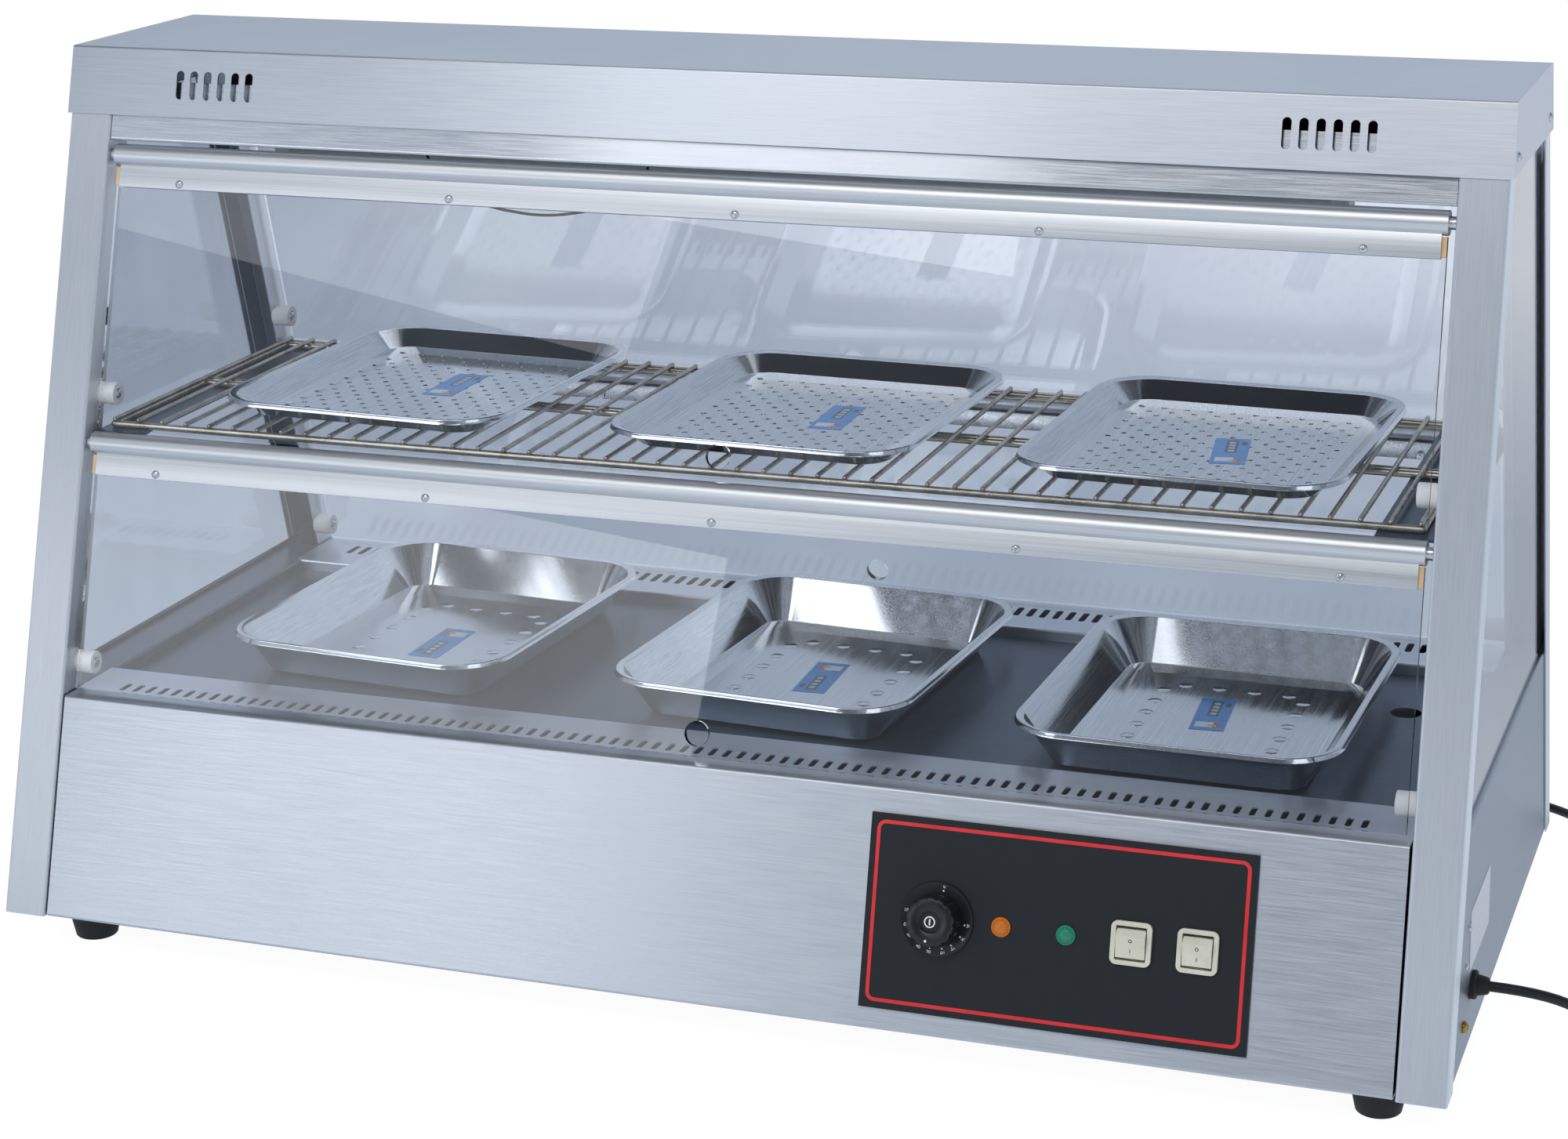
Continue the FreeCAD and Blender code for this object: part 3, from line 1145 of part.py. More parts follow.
# Every piece, under the name of its node.
def build_nodes():
    nodes = {}
    post = right_post()
    nodes["post_front_right"] = post
    nodes["post_front_left"] = mirrored(post)
    nodes["post_rear_left"] = to_rear(post)
    nodes["post_rear_right"] = to_rear(mirrored(post))

    nodes["base_panel_front"] = base_panel_sheet(FRONT_SLOT).cut(on_front(control_holes()))
    nodes["base_panel_rear"] = to_rear(base_panel_sheet(REAR_SLOT))
    nodes["base_panel_right"] = side_panel().cut(gland_hole())
    nodes["base_panel_left"] = mirrored(side_panel())
    nodes["bottom_tray"] = bottom_tray()
    nodes["side_ledges"] = group([side_ledge(), mirrored(side_ledge())])
    nodes["warming_plate"] = warming_plate()
    nodes["feet"] = group([foot().translated(V(x, y, 0)) for x in (-FOOT_X, FOOT_X) for y in (-FOOT_Y, FOOT_Y)])

    nodes["cap"] = cap()
    nodes["header_panels"] = group([header_panel(), to_rear(header_panel())])
    nodes["ceiling_panel"] = ceiling_panel()
    nodes["lamp_tube"] = lamp_tube()
    nodes["lamp_holders"] = group([lamp_holder(), mirrored(lamp_holder())])
    nodes["lamp_lead"] = lamp_lead()

    nodes["side_glass_right"] = side_glass()
    nodes["side_glass_left"] = mirrored(side_glass())
    retainer = on_front(glass_retainer())
    nodes["glass_retainers"] = group(four_corners(retainer))
    bumpers = group([on_front(bumper(place)) for place in bumper_places()])
    nodes["door_bumpers"] = group(four_corners(bumpers))
    screws = group([on_front(bumper_screw(place)) for place in bumper_places()])
    cap_screws = [cap_screw(side, y) for side in (-1, 1) for y in (-CAP_SCREW_Y, CAP_SCREW_Y)]
    nodes["frame_screws"] = group(four_corners(screws) + cap_screws)

    for level, tube in (("lower", LOWER_TUBE), ("upper", UPPER_TUBE)):
        pieces = {"bar": door_bar(tube), "glass": door_glass(tube), "fittings": door_fittings(tube)}
        for piece, shape in pieces.items():
            nodes["door_front_" + level + "_" + piece] = on_front(shape)
            nodes["door_rear_" + level + "_" + piece] = to_rear(on_front(shape))

    nodes["wire_shelf"] = wire_shelf()
    nodes["shelf_ledges"] = group([shelf_ledge(), mirrored(shelf_ledge())])
    deep, shallow = pan(), perforated_tray()
    for side in PAN_PLACES:
        nodes["pan_" + side] = laid(deep, PAN_PLACES[side], PLATE_UNDERSIDE + PLATE_THICKNESS)
        nodes["tray_" + side] = laid(shallow, TRAY_PLACES[side], FOOT_HEIGHT + SHELF_TOP)

    dial_x, amber_x, green_x, power_x, light_x = control_places()
    nodes["control_plate"] = on_front(control_plate())
    nodes["dial_plate"] = on_front(dial_plate())
    nodes["temperature_knob"] = on_front(knob())
    nodes["thermostat"] = thermostat()
    nodes["pilot_lamp_amber"] = on_front(pilot_lamp(amber_x))
    nodes["pilot_lamp_green"] = on_front(pilot_lamp(green_x))
    nodes["switch_frames"] = group([on_front(switch_frame(power_x)), on_front(switch_frame(light_x))])
    nodes["rocker_power"] = on_front(rocker(power_x))
    nodes["rocker_light"] = on_front(rocker(light_x))

    nodes["heating_elements"] = group([heating_element(-HEATER_MIDDLE_Y), heating_element(HEATER_MIDDLE_Y)])
    nodes["terminal_block"] = terminal_block()
    nodes["rating_plate"] = rating_plate()
    nodes["cable_gland"] = cable_gland()
    nodes["power_cord"] = tube_along(cord_points(), CORD_DIAMETER, "power_cord")
    nodes["cord_coil"] = cord_coil()
    nodes["mains_plug"] = mains_plug()
    return nodes


def four_corners(shape):
    """A piece of the front right post, and its copies on the other three."""
    return [shape, mirrored(shape), to_rear(shape), to_rear(mirrored(shape))]


for name, shape in build_nodes().items():
    shape.exportStep("parts/" + name + ".step")
    print(name, len(shape.Solids), "valid" if shape.isValid() else "NOT VALID", round(shape.Volume / 1000, 2))
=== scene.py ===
import bmesh
import bpy
import math
from mathutils import Matrix, Vector


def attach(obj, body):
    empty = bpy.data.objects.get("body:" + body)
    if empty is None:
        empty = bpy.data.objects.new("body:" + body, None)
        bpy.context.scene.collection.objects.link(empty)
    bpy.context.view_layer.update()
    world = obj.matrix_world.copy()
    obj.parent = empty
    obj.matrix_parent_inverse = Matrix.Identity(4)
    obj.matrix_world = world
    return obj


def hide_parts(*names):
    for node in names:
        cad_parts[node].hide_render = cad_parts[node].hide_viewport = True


# A food warmer cabinet of brushed stainless sheet, dressed on its fixed frame. Metres, +Z up,
# the operator's front faces -Y. It is put together here from the camera and the cord inwards.
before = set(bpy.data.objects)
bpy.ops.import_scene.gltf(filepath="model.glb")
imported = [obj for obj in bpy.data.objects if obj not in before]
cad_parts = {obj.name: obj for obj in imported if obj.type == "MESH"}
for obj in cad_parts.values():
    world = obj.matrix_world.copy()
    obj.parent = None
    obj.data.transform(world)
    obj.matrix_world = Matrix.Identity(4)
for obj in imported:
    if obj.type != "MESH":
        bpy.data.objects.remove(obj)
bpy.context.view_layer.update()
MM = 0.001

# Camera: in front of the right half and a little above the cap, with a long lens. The shift
# keeps the picture's frame where the photograph has it.
CAMERA_PLACE = (909.4, -2507.6, 1118.3)
TURN, TILT, ROLL = math.radians(19.307), math.radians(12.837), math.radians(-0.745)
forward = Vector((-math.sin(TURN) * math.cos(TILT), math.cos(TURN) * math.cos(TILT), -math.sin(TILT)))
level = Vector((math.cos(TURN), math.sin(TURN), 0))
upward = level.cross(forward)
right = math.cos(ROLL) * level + math.sin(ROLL) * upward
up = math.cos(ROLL) * upward - math.sin(ROLL) * level
camera = bpy.data.objects.new("camera", bpy.data.cameras.new("camera"))
bpy.context.collection.objects.link(camera)
camera.data.sensor_width = 36
camera.data.lens = 75.89
camera.data.shift_x = -0.0262
camera.data.shift_y = -0.1585
camera.data.clip_end = 200
camera.matrix_world = Matrix((right, up, -forward)).transposed().to_4x4()
camera.location = Vector(CAMERA_PLACE) * MM
bpy.context.scene.camera = camera


# Supply cord: 8 mm round black PVC. It leaves the gland on the right side, runs round behind
# the cabinet and ends in a round coil there, with its plug beside it.
def linear(colour):
    """An sRGB hex colour as the linear colour that a shader takes."""
    shares = [int(colour[start:start + 2], 16) / 255 for start in (1, 3, 5)]
    return [share / 12.92 if share <= 0.04045 else ((share + 0.055) / 1.055) ** 2.4
            for share in shares] + [1]


def add(tree, kind, inputs=None, **settings):
    """Adds a node with its settings; an input takes a value or is linked from a socket."""
    made = tree.nodes.new(kind)
    for name, value in settings.items():
        setattr(made, name, value)
    for name, value in (inputs or {}).items():
        if isinstance(value, bpy.types.NodeSocket):
            tree.links.new(value, made.inputs[name])
        else:
            made.inputs[name].default_value = value
    return made


def finish_of(name, sockets):
    """A material with its tree and its Principled shader, whose sockets take these values."""
    made = bpy.data.materials.new(name)
    made.use_nodes = True
    shader = made.node_tree.nodes["Principled BSDF"]
    for socket, value in sockets.items():
        shader.inputs[socket].default_value = value
    return made, made.node_tree, shader


def grain(tree, size, detail=3.0, lean=0.0):
    """Noise whose grains have this size in millimetres along X, Y and Z."""
    place = add(tree, "ShaderNodeTexCoord").outputs["Object"]
    turned = add(tree, "ShaderNodeMapping", {"Vector": place, "Rotation": (lean, 0, 0)})
    scaled = add(tree, "ShaderNodeMapping", {"Vector": turned.outputs[0],
                                             "Scale": [1 / (side * MM) for side in size]})
    noise = add(tree, "ShaderNodeTexNoise", {"Vector": scaled.outputs[0], "Scale": 1.0, "Detail": detail})
    return noise.outputs[0]


def ramp(tree, factor, shades, start=0.3, end=0.7):
    """Colour that goes from the first shade to the last as the factor goes from start to end."""
    made = add(tree, "ShaderNodeValToRGB", {"Fac": factor})
    made.color_ramp.elements[0].position = start
    made.color_ramp.elements[1].position = end
    made.color_ramp.elements[0].color = linear(shades[0])
    made.color_ramp.elements[1].color = linear(shades[1])
    return made.outputs[0]


def spread_to(tree, factor, low, high):
    """The middle of a noise, spread over a range of roughness."""
    return add(tree, "ShaderNodeMapRange", {"Value": factor, "From Min": 0.3, "From Max": 0.7,
                                            "To Min": low, "To Max": high}).outputs[0]


def bump(tree, height, strength, millimetres):
    """Normal of a relief that is this many millimetres high."""
    return add(tree, "ShaderNodeBump", {"Height": height, "Strength": strength,
                                        "Distance": millimetres * MM}).outputs[0]


def moulded(name, shades, roughness, grit=0.6, relief=0.03):
    """Moulded plastic or rubber: fine grit from the mould and a slightly uneven sheen."""
    made, tree, shader = finish_of(name, {"Roughness": roughness})
    fine = grain(tree, (grit, grit, grit))
    broad = grain(tree, (25, 25, 25))
    tree.links.new(ramp(tree, broad, shades), shader.inputs["Base Color"])
    tree.links.new(spread_to(tree, broad, roughness - 0.06, roughness + 0.06), shader.inputs["Roughness"])
    tree.links.new(bump(tree, fine, 0.4, relief), shader.inputs["Normal"])
    return made


CORD = 8.0
ROUTE = [(611.5, -170.6, 75), (650, -170.6, 75), (686, -155, 56), (700, -122, 31), (703, -80, 12),
         (700, -30, 4), (695.5, 30, 4), (688, 92, 4), (685, 156, 4), (679, 220, 4), (667, 284, 4),
         (648, 342, 4), (608, 388, 4), (556, 414, 4), (520, 422.8, 4)]
COIL_MIDDLE, COIL_MEAN, COIL_STEP, COIL_TURNS = (480, 370), 88.0, 8.8, 2
COIL_END = 8 * COIL_TURNS + 2
COIL_TAIL = 32.0
PER_TURN = 12


def coil_place(quarter):
    """Middle of the coil at a number of quarter turns: a layer in, a climb, a layer out."""
    layer = 4 * COIL_TURNS
    outer = COIL_MEAN / 2 + COIL_STEP * COIL_TURNS / 2
    inner = COIL_MEAN / 2 - COIL_STEP * COIL_TURNS / 2
    if quarter <= layer:
        radius, height = outer - COIL_STEP * quarter / 4, CORD / 2
    elif quarter <= layer + 2:
        climbed = (quarter - layer) / 2
        radius, height = inner - 2.2 * math.sin(math.pi * climbed), CORD / 2 + COIL_STEP * climbed
    else:
        radius, height = inner + COIL_STEP * (quarter - layer - 2) / 4, CORD / 2 + COIL_STEP
    # The spline cuts inside its points, so they lie a little outside the coil's own line.
    radius *= 1 + (1 / math.cos(math.pi / PER_TURN) - 1) * min(1, quarter, COIL_END - quarter)
    angle = math.pi / 2 * (quarter + 1)
    return (COIL_MIDDLE[0] + radius * math.cos(angle), COIL_MIDDLE[1] + radius * math.sin(angle), height)


route = list(ROUTE)
for step in range(COIL_END * PER_TURN // 4 + 1):
    route.append(coil_place(step * 4 / PER_TURN))
end = route[-1]
route += [(end[0] + COIL_TAIL * share, end[1], end[2]) for share in (0.5, 1)]
cord_line = bpy.data.curves.new("power_cord_line", "CURVE")
cord_line.dimensions = "3D"
spline = cord_line.splines.new("NURBS")
spline.points.add(len(route) - 1)
for point, place in zip(spline.points, route):
    point.co = (*[value * MM for value in place], 1)
spline.order_u = 3
spline.use_endpoint_u = True
spline.resolution_u = 6
cord_line.bevel_depth = CORD / 2 * MM
cord_line.bevel_resolution = 5
cord_line.use_fill_caps = True
power_cord = bpy.data.objects.new("power_cord_line", cord_line)
bpy.context.collection.objects.link(power_cord)

# Extruded PVC sheath: black, half matte, with faint flow marks.
black_pvc = moulded("black_pvc_extruded", ("#141517", "#1E1F22"), 0.42, grit=1.5)
black_rubber = moulded("black_rubber_moulded", ("#131313", "#1D1D1E"), 0.62)
cord_line.materials.append(black_pvc)


def lathe(profile, segments=48):
    """Closed mesh turned about Z from (radius, height) points that go from the axis to the axis."""
    made = bmesh.new()
    rings = []
    for radius, height in profile:
        if radius < 1e-9:
            rings.append([made.verts.new((0, 0, height * MM))])
        else:
            angles = [2 * math.pi * turn / segments for turn in range(segments)]
            rings.append([made.verts.new((radius * MM * math.cos(angle), radius * MM * math.sin(angle),
                                          height * MM)) for angle in angles])
    for lower, upper in zip(rings, rings[1:]):
        for turn in range(segments):
            after = (turn + 1) % segments
            corners = []
            for vertex in (lower[turn % len(lower)], lower[after % len(lower)],
                           upper[after % len(upper)], upper[turn % len(upper)]):
                if vertex not in corners:
                    corners.append(vertex)
            made.faces.new(corners)
    bmesh.ops.recalc_face_normals(made, faces=made.faces)
    return made


def joined(shapes):
    """One mesh from several shapes, each a pair of a mesh under construction and its place."""
    whole = bmesh.new()
    for shape, place in shapes:
        copy = bpy.data.meshes.new("part")
        shape.to_mesh(copy)
        copy.transform(place)
        if place.determinant() < 0:
            copy.flip_normals()
        whole.from_mesh(copy)
        bpy.data.meshes.remove(copy)
    return whole


def piece(name, shape, body, finish, stands_for=(), sharp=35):
    """Makes the shape a named piece of one finish that rides on a body."""
    mesh = bpy.data.meshes.new(name)
    shape.to_mesh(mesh)
    shape.free()
    mesh.materials.append(finish)
    mesh.shade_smooth()
    mesh.set_sharp_from_angle(angle=math.radians(sharp))
    made = bpy.data.objects.new(name, mesh)
    bpy.context.collection.objects.link(made)
    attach(made, body)
    if stands_for:
        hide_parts(*stands_for)
    return made


def at(x, y, z, axis=None):
    """Place of a turned shape: its origin here, in millimetres, and its Z along the axis."""
    turn = Vector((0, 0, 1)).rotation_difference(Vector(axis)).to_matrix().to_4x4() if axis else Matrix()
    return Matrix.Translation(Vector((x, y, z)) * MM) @ turn


# Moulded plug: a round body behind a ribbed relief for the cord.
plug_body = lathe([(0, 20), (4.2, 20), (5.5, 22), (12.2, 26), (12.7, 29), (12.7, 50), (11.5, 55), (9, 56),
                   (0, 56)])
plug_relief = lathe([(0, 0), (4.8, 0), (5.0, 5), (4.5, 6), (5.3, 11), (4.8, 12), (5.7, 17), (5.5, 21),
                     (0, 22)])
plug_pin = lathe([(0, 55), (2.4, 55), (2.4, 73), (1.6, 75), (0, 75)], 20)
plug_place = at(*route[-1], (1, 0, 0))
plug_whole = joined([(plug_body, plug_place), (plug_relief, plug_place)])
plug = piece("mains_plug_moulded", plug_whole, "cabinet", black_rubber, ["mains_plug"])
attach(power_cord, "cabinet")
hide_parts("power_cord", "cord_coil")


# Sheet frame: four folded corner posts, the base panels with the slotted strips of the deck,
# the cap and the headers. Stainless sheet, ground along its length before it was folded.
LEAN = math.radians(15.5)


def brushed_steel(name, shades, run, lean=0.0, roughness=0.34, across=0.7):
    """Belt-ground stainless: scratches along one axis and, on the faces that this axis meets
    head on, along the next one. Real scratches are finer; they are drawn as coarse as they show.
    The scratches stretch each reflection across them, so a light becomes a soft band."""
    made, tree, shader = finish_of(name, {"Metallic": 1.0, "Anisotropic": 0.85,
                                          "Anisotropic Rotation": 0.25})
    run_line = [1.0 if axis == run else 0.05 for axis in "XYZ"]
    along = add(tree, "ShaderNodeVectorTransform", {"Vector": run_line}, vector_type="VECTOR",
                convert_from="OBJECT", convert_to="WORLD")
    tree.links.new(along.outputs[0], shader.inputs["Tangent"])
    crossed = {"X": "Y", "Y": "X", "Z": "X"}[run]
    sizes = [[45 if axis == way else across for axis in "XYZ"] for way in (run, crossed)]
    scratches = [grain(tree, size, 3.0, lean) for size in sizes]
    normal = add(tree, "ShaderNodeNewGeometry").outputs["True Normal"]
    facing = add(tree, "ShaderNodeVectorMath", {0: normal, 1: [float(axis == run) for axis in "XYZ"]},
                 operation="DOT_PRODUCT").outputs["Value"]
    end_on = add(tree, "ShaderNodeMath", {0: facing}, operation="ABSOLUTE").outputs[0]
    end_on = add(tree, "ShaderNodeMath", {0: end_on, 1: 0.7}, operation="GREATER_THAN").outputs[0]
    scratch = add(tree, "ShaderNodeMix", {"Factor": end_on, "A": scratches[0], "B": scratches[1]})
    scratch = scratch.outputs[0]
    cloud = grain(tree, (260, 260, 260), 2.0)
    tone = add(tree, "ShaderNodeMix", {"Factor": 0.3, "A": scratch, "B": cloud}).outputs[0]
    tree.links.new(ramp(tree, tone, shades, 0.3, 0.7), shader.inputs["Base Color"])
    tree.links.new(spread_to(tree, scratch, roughness - 0.05, roughness + 0.06), shader.inputs["Roughness"])
    tree.links.new(bump(tree, scratch, 0.15, 0.03), shader.inputs["Normal"])
    return made


def dress(finish, *nodes):
    """Gives a finish to nodes of the fixed frame whose shape is already right."""
    for name in nodes:
        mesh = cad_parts[name].data
        mesh.materials.clear()
        mesh.materials.append(finish)


# The front, the back and the cap are ground along X, the sides along Y, the posts along their
# own length. The posts are ground a little rougher, so their grey stays even, and their paler
# shades are painted light.
sheet_steel = brushed_steel("stainless_sheet_ground_lengthwise", ("#C9CFD8", "#DFE3EA"), "X")
# The sides' darker shades are painted shade on the same sheet.
side_steel_painted_shade = brushed_steel("stainless_sheet_ground_across_painted_shade", ("#8F98A4", "#A2AAB5"), "Y")
# The posts' shades, paler than the sheet's, are painted light.
front_post_steel_painted_light = brushed_steel("stainless_post_ground_front_painted_light", ("#DDE3EA", "#F0F3F7"), "Z", LEAN, 0.44)
rear_post_steel_painted_light = brushed_steel("stainless_post_ground_rear_painted_light", ("#DDE3EA", "#F0F3F7"), "Z", -LEAN, 0.44)
dress(sheet_steel, "base_panel_front", "base_panel_rear", "cap")
dress(side_steel_painted_shade, "base_panel_right", "base_panel_left")
dress(front_post_steel_painted_light, "post_front_right", "post_front_left")
dress(rear_post_steel_painted_light, "post_rear_right", "post_rear_left")

# Headers: the same sheet under the cap's lip, front and rear. They were ground finer and are
# hardly touched in use, so they mirror the room more clearly than the rest.
header_steel = brushed_steel("stainless_header_bright_ground", ("#CBD0D8", "#E4E7EC"), "X", roughness=0.22)
dress(header_steel, "header_panels")

# Deck: a plain warming plate between the strips, and the ledges at its ends. It is darker than
# the outside. Ceiling and bottom are mill finish, their dark shades painted shade, and the strips
# that hold the side glass are like the sides.
deck_steel = brushed_steel("stainless_deck_darker_sheet", ("#56616F", "#6A7684"), "X", roughness=0.32)
dress(deck_steel, "warming_plate", "side_ledges", "shelf_ledges")
# Mill finish, rougher; its dark shades are painted shade for the shaded ceiling underside and bottom.
mill_steel_painted_shade = brushed_steel("stainless_mill_finish_painted_shade", ("#4A4E54", "#5C6067"), "X", roughness=0.45)
dress(mill_steel_painted_shade, "ceiling_panel", "bottom_tray")
dress(side_steel_painted_shade, "glass_retainers")

# Feet: moulded black rubber cones that taper to the table, with a recess below for the screw
# that holds each one to the bottom tray.
FOOT_X, FOOT_Y, FOOT_HEIGHT = 543, 245, 31.0
foot = lathe([(0, 5), (8.5, 5), (8.5, 0.4), (9, 0), (16.6, 0), (17.4, 0.8), (20.4, 15), (20.4, 15.6),
              (20.8, 16.4), (24, 30.2), (23.4, FOOT_HEIGHT), (0, FOOT_HEIGHT)], 64)
feet = [(foot, at(x, y, 0)) for x in (-FOOT_X, FOOT_X) for y in (-FOOT_Y, FOOT_Y)]
piece("rubber_feet", joined(feet), "cabinet", black_rubber, ["feet"])

# Lamp: a glass tube coated white inside, between two moulded holders screwed under the
# ceiling, with its thin black lead.
white_plastic = moulded("white_plastic_moulded", ("#DCDCD8", "#E8E8E4"), 0.4)
lamp_white = moulded("lamp_glass_white_coated", ("#E4E7E6", "#F0F2F1"), 0.2, grit=8, relief=0.01)
dress(white_plastic, "lamp_holders")
dress(lamp_white, "lamp_tube")
dress(black_pvc, "lamp_lead")

# Side glass: clear toughened panes held in the posts by angle strips. The faces are nearly
# clear, with a faint cold tint, and lamp light passes through.
def clear_glass(name, tint):
    """Clear float glass with a faint uneven film of dust."""
    made, tree, shader = finish_of(name, {"Transmission Weight": 1.0, "IOR": 1.5, "Roughness": 0.0})
    dust = grain(tree, (180, 60, 220), 4.0)
    tree.links.new(ramp(tree, dust, (tint, "#F4F7FA")), shader.inputs["Base Color"])
    passing = add(tree, "ShaderNodeBsdfTransparent", {"Color": linear(tint)})
    lamp_ray = add(tree, "ShaderNodeLightPath").outputs["Is Shadow Ray"]
    shown = add(tree, "ShaderNodeMixShader", {0: lamp_ray, 1: shader.outputs[0], 2: passing.outputs[0]})
    tree.links.new(shown.outputs[0], tree.nodes["Material Output"].inputs["Surface"])
    return made


pane_glass = clear_glass("toughened_glass_clear", "#E9ECF2")
dress(pane_glass, "side_glass_right", "side_glass_left")

# Door bumpers: turned white nylon, each screwed to a post's return through a counterbore. A
# closed door rests against a pair of them.
HALF_DEPTH, RETURN_FACE = 293.7, 562.4
on_front = Matrix.Translation(Vector((0, -HALF_DEPTH, FOOT_HEIGHT)) * MM) @ Matrix.Rotation(-LEAN, 4, "X")
half_turn = Matrix.Rotation(math.pi, 4, "Z")
across = Matrix.Scale(-1, 4, (1, 0, 0))
corners = [on_front, across @ on_front, half_turn @ on_front, half_turn @ across @ on_front]
BUMPER_RADIUS, BUMPER_LENGTH = 9.5, 17
bumper = lathe([(0, 4), (4.5, 4), (4.5, 0.5), (5, 0), (8.6, 0), (9.3, 0.3), (BUMPER_RADIUS, 1),
                (BUMPER_RADIUS, 16), (9, BUMPER_LENGTH), (0, BUMPER_LENGTH)])
BUMPER_DEPTH = 14.0 + 0.3 + BUMPER_RADIUS
bumper_rises = [height / math.cos(LEAN) for height in (205, 423)]
white_nylon = moulded("white_nylon_turned", ("#E2E1DD", "#EFEEEA"), 0.45)
bumpers = []
for corner in corners:
    for rise in bumper_rises:
        bumpers.append((bumper, corner @ at(RETURN_FACE - BUMPER_LENGTH, BUMPER_DEPTH, rise, (1, 0, 0))))
piece("nylon_bumpers", joined(bumpers), "cabinet", white_nylon, ["door_bumpers"])

# Screws: pan heads with a cross recess, pressed from steel wire and zinc plated. They hold the
# bumpers, the cap's ends and the doors' strips. One tree lays a row of them on a face.
def fitting_metal(name, shades, roughness):
    """Small pressed or turned metal: tiny uneven spots from the barrel, bright and half smooth."""
    made, tree, shader = finish_of(name, {"Metallic": 1.0})
    tree.links.new(ramp(tree, grain(tree, (2, 2, 2)), shades), shader.inputs["Base Color"])
    tree.links.new(spread_to(tree, grain(tree, (1, 1, 1)), roughness, 0.4), shader.inputs["Roughness"])
    return made


screw_steel = fitting_metal("screw_steel_zinc_plated", ("#C9CDD2", "#E8EAED"), 0.22)


def screw_head():
    """A pan head of 1 mm radius on z = 0 whose dome and cross recess point along +Z."""
    dome = lathe([(0, -0.2), (1, -0.2), (1, 0.1), (0.93, 0.3), (0.75, 0.48), (0.4, 0.6), (0, 0.63)], 28)
    head = bpy.data.objects.new("screw_head", bpy.data.meshes.new("screw_head"))
    dome.to_mesh(head.data)
    tool = bpy.data.objects.new("cross_tool", bpy.data.meshes.new("cross_tool"))
    cross = bmesh.new()
    for turn in (0, 90):
        arm = Matrix.Diagonal((1.15 * MM, 0.24 * MM, 0.7 * MM, 1))
        turned = Matrix.Rotation(math.radians(turn + 20), 4, "Z") @ arm
        bmesh.ops.create_cube(cross, size=1, matrix=Matrix.Translation((0, 0, 0.62 * MM)) @ turned)
    cross.to_mesh(tool.data)
    for thing in (head, tool):
        bpy.context.collection.objects.link(thing)
    cut = head.modifiers.new("cross", "BOOLEAN")
    cut.object = tool
    cut.operation = "DIFFERENCE"
    cut.use_self = True
    shape = bpy.data.meshes.new_from_object(head.evaluated_get(bpy.context.evaluated_depsgraph_get()))
    for thing in (head, tool):
        bpy.data.objects.remove(thing)
    head = bpy.data.objects.new("screw_head", shape)
    bpy.context.collection.objects.link(head)
    return head


def node_tree(name, inputs):
    """An empty geometry tree with these named inputs, and its two end nodes."""
    tree = bpy.data.node_groups.new(name, "GeometryNodeTree")
    for label, kind in inputs.items():
        tree.interface.new_socket(label, in_out="INPUT", socket_type="NodeSocket" + kind)
    tree.interface.new_socket("Geometry", in_out="OUTPUT", socket_type="NodeSocketGeometry")
    return tree, add(tree, "NodeGroupInput"), add(tree, "NodeGroupOutput")


def grown(name, tree, values, start=None):
    """Runs a geometry tree once with these values and gives the plain mesh that it makes."""
    holder = bpy.data.objects.new(name, start or bpy.data.meshes.new(name))
    bpy.context.collection.objects.link(holder)
    modifier = holder.modifiers.new("grown", "NODES")
    modifier.node_group = tree
    for item in tree.interface.items_tree:
        if item.item_type == "SOCKET" and item.in_out == "INPUT" and item.name in values:
            modifier[item.identifier] = values[item.name]
    made = bpy.data.meshes.new_from_object(holder.evaluated_get(bpy.context.evaluated_depsgraph_get()))
    bpy.data.objects.remove(holder)
    shape = bmesh.new()
    shape.from_mesh(made)
    bpy.data.meshes.remove(made)
    return shape


screw_pattern = screw_head()
screw_row, given, result = node_tree("screw_row", {
    "Geometry": "Geometry", "Head": "Object", "Count": "Int", "First": "Vector", "Step": "Vector",
    "Facing": "Rotation", "Radius": "Float", "Finish": "Material"})
line = add(screw_row, "GeometryNodeMeshLine", {"Count": given.outputs["Count"],
                                               "Start Location": given.outputs["First"],
                                               "Offset": given.outputs["Step"]})
head = add(screw_row, "GeometryNodeObjectInfo", {"Object": given.outputs["Head"]})
heads = add(screw_row, "GeometryNodeInstanceOnPoints", {"Points": line.outputs[0],
                                                        "Instance": head.outputs["Geometry"],
                                                        "Rotation": given.outputs["Facing"],
                                                        "Scale": given.outputs["Radius"]})
real = add(screw_row, "GeometryNodeRealizeInstances", {"Geometry": heads.outputs[0]})
done = add(screw_row, "GeometryNodeSetMaterial", {"Geometry": real.outputs[0],
                                                  "Material": given.outputs["Finish"]})
screw_row.links.new(done.outputs[0], result.inputs[0])


def screws(count, first, step, axis, radius):
    """A row of screw heads, in the millimetres of the face that they sit on."""
    facing = Vector((0, 0, 1)).rotation_difference(Vector(axis)).to_euler()
    return grown("screws", screw_row, {"Head": screw_pattern, "Count": count,
                                       "First": Vector(first) * MM, "Step": Vector(step) * MM,
                                       "Facing": facing, "Radius": radius, "Finish": screw_steel})


CAP_FACE, CAP_SCREW_Y, CAP_SCREW_Z = 602.0, 92, 692.0
NO_STEP = (0, 0, 0)
bumper_screws = [(screws(1, (RETURN_FACE - 15.8, BUMPER_DEPTH, rise), NO_STEP, (-1, 0, 0), 4.2), corner)
                 for corner in corners for rise in bumper_rises]
cap_pair = screws(2, (CAP_FACE, -CAP_SCREW_Y, CAP_SCREW_Z), (0, 2 * CAP_SCREW_Y, 0), (1, 0, 0), 4.0)
cap_screws = [(cap_pair, side) for side in (Matrix(), half_turn)]
piece("frame_screw_heads", joined(bumper_screws + cap_screws), "cabinet", screw_steel,
      ["frame_screws"])


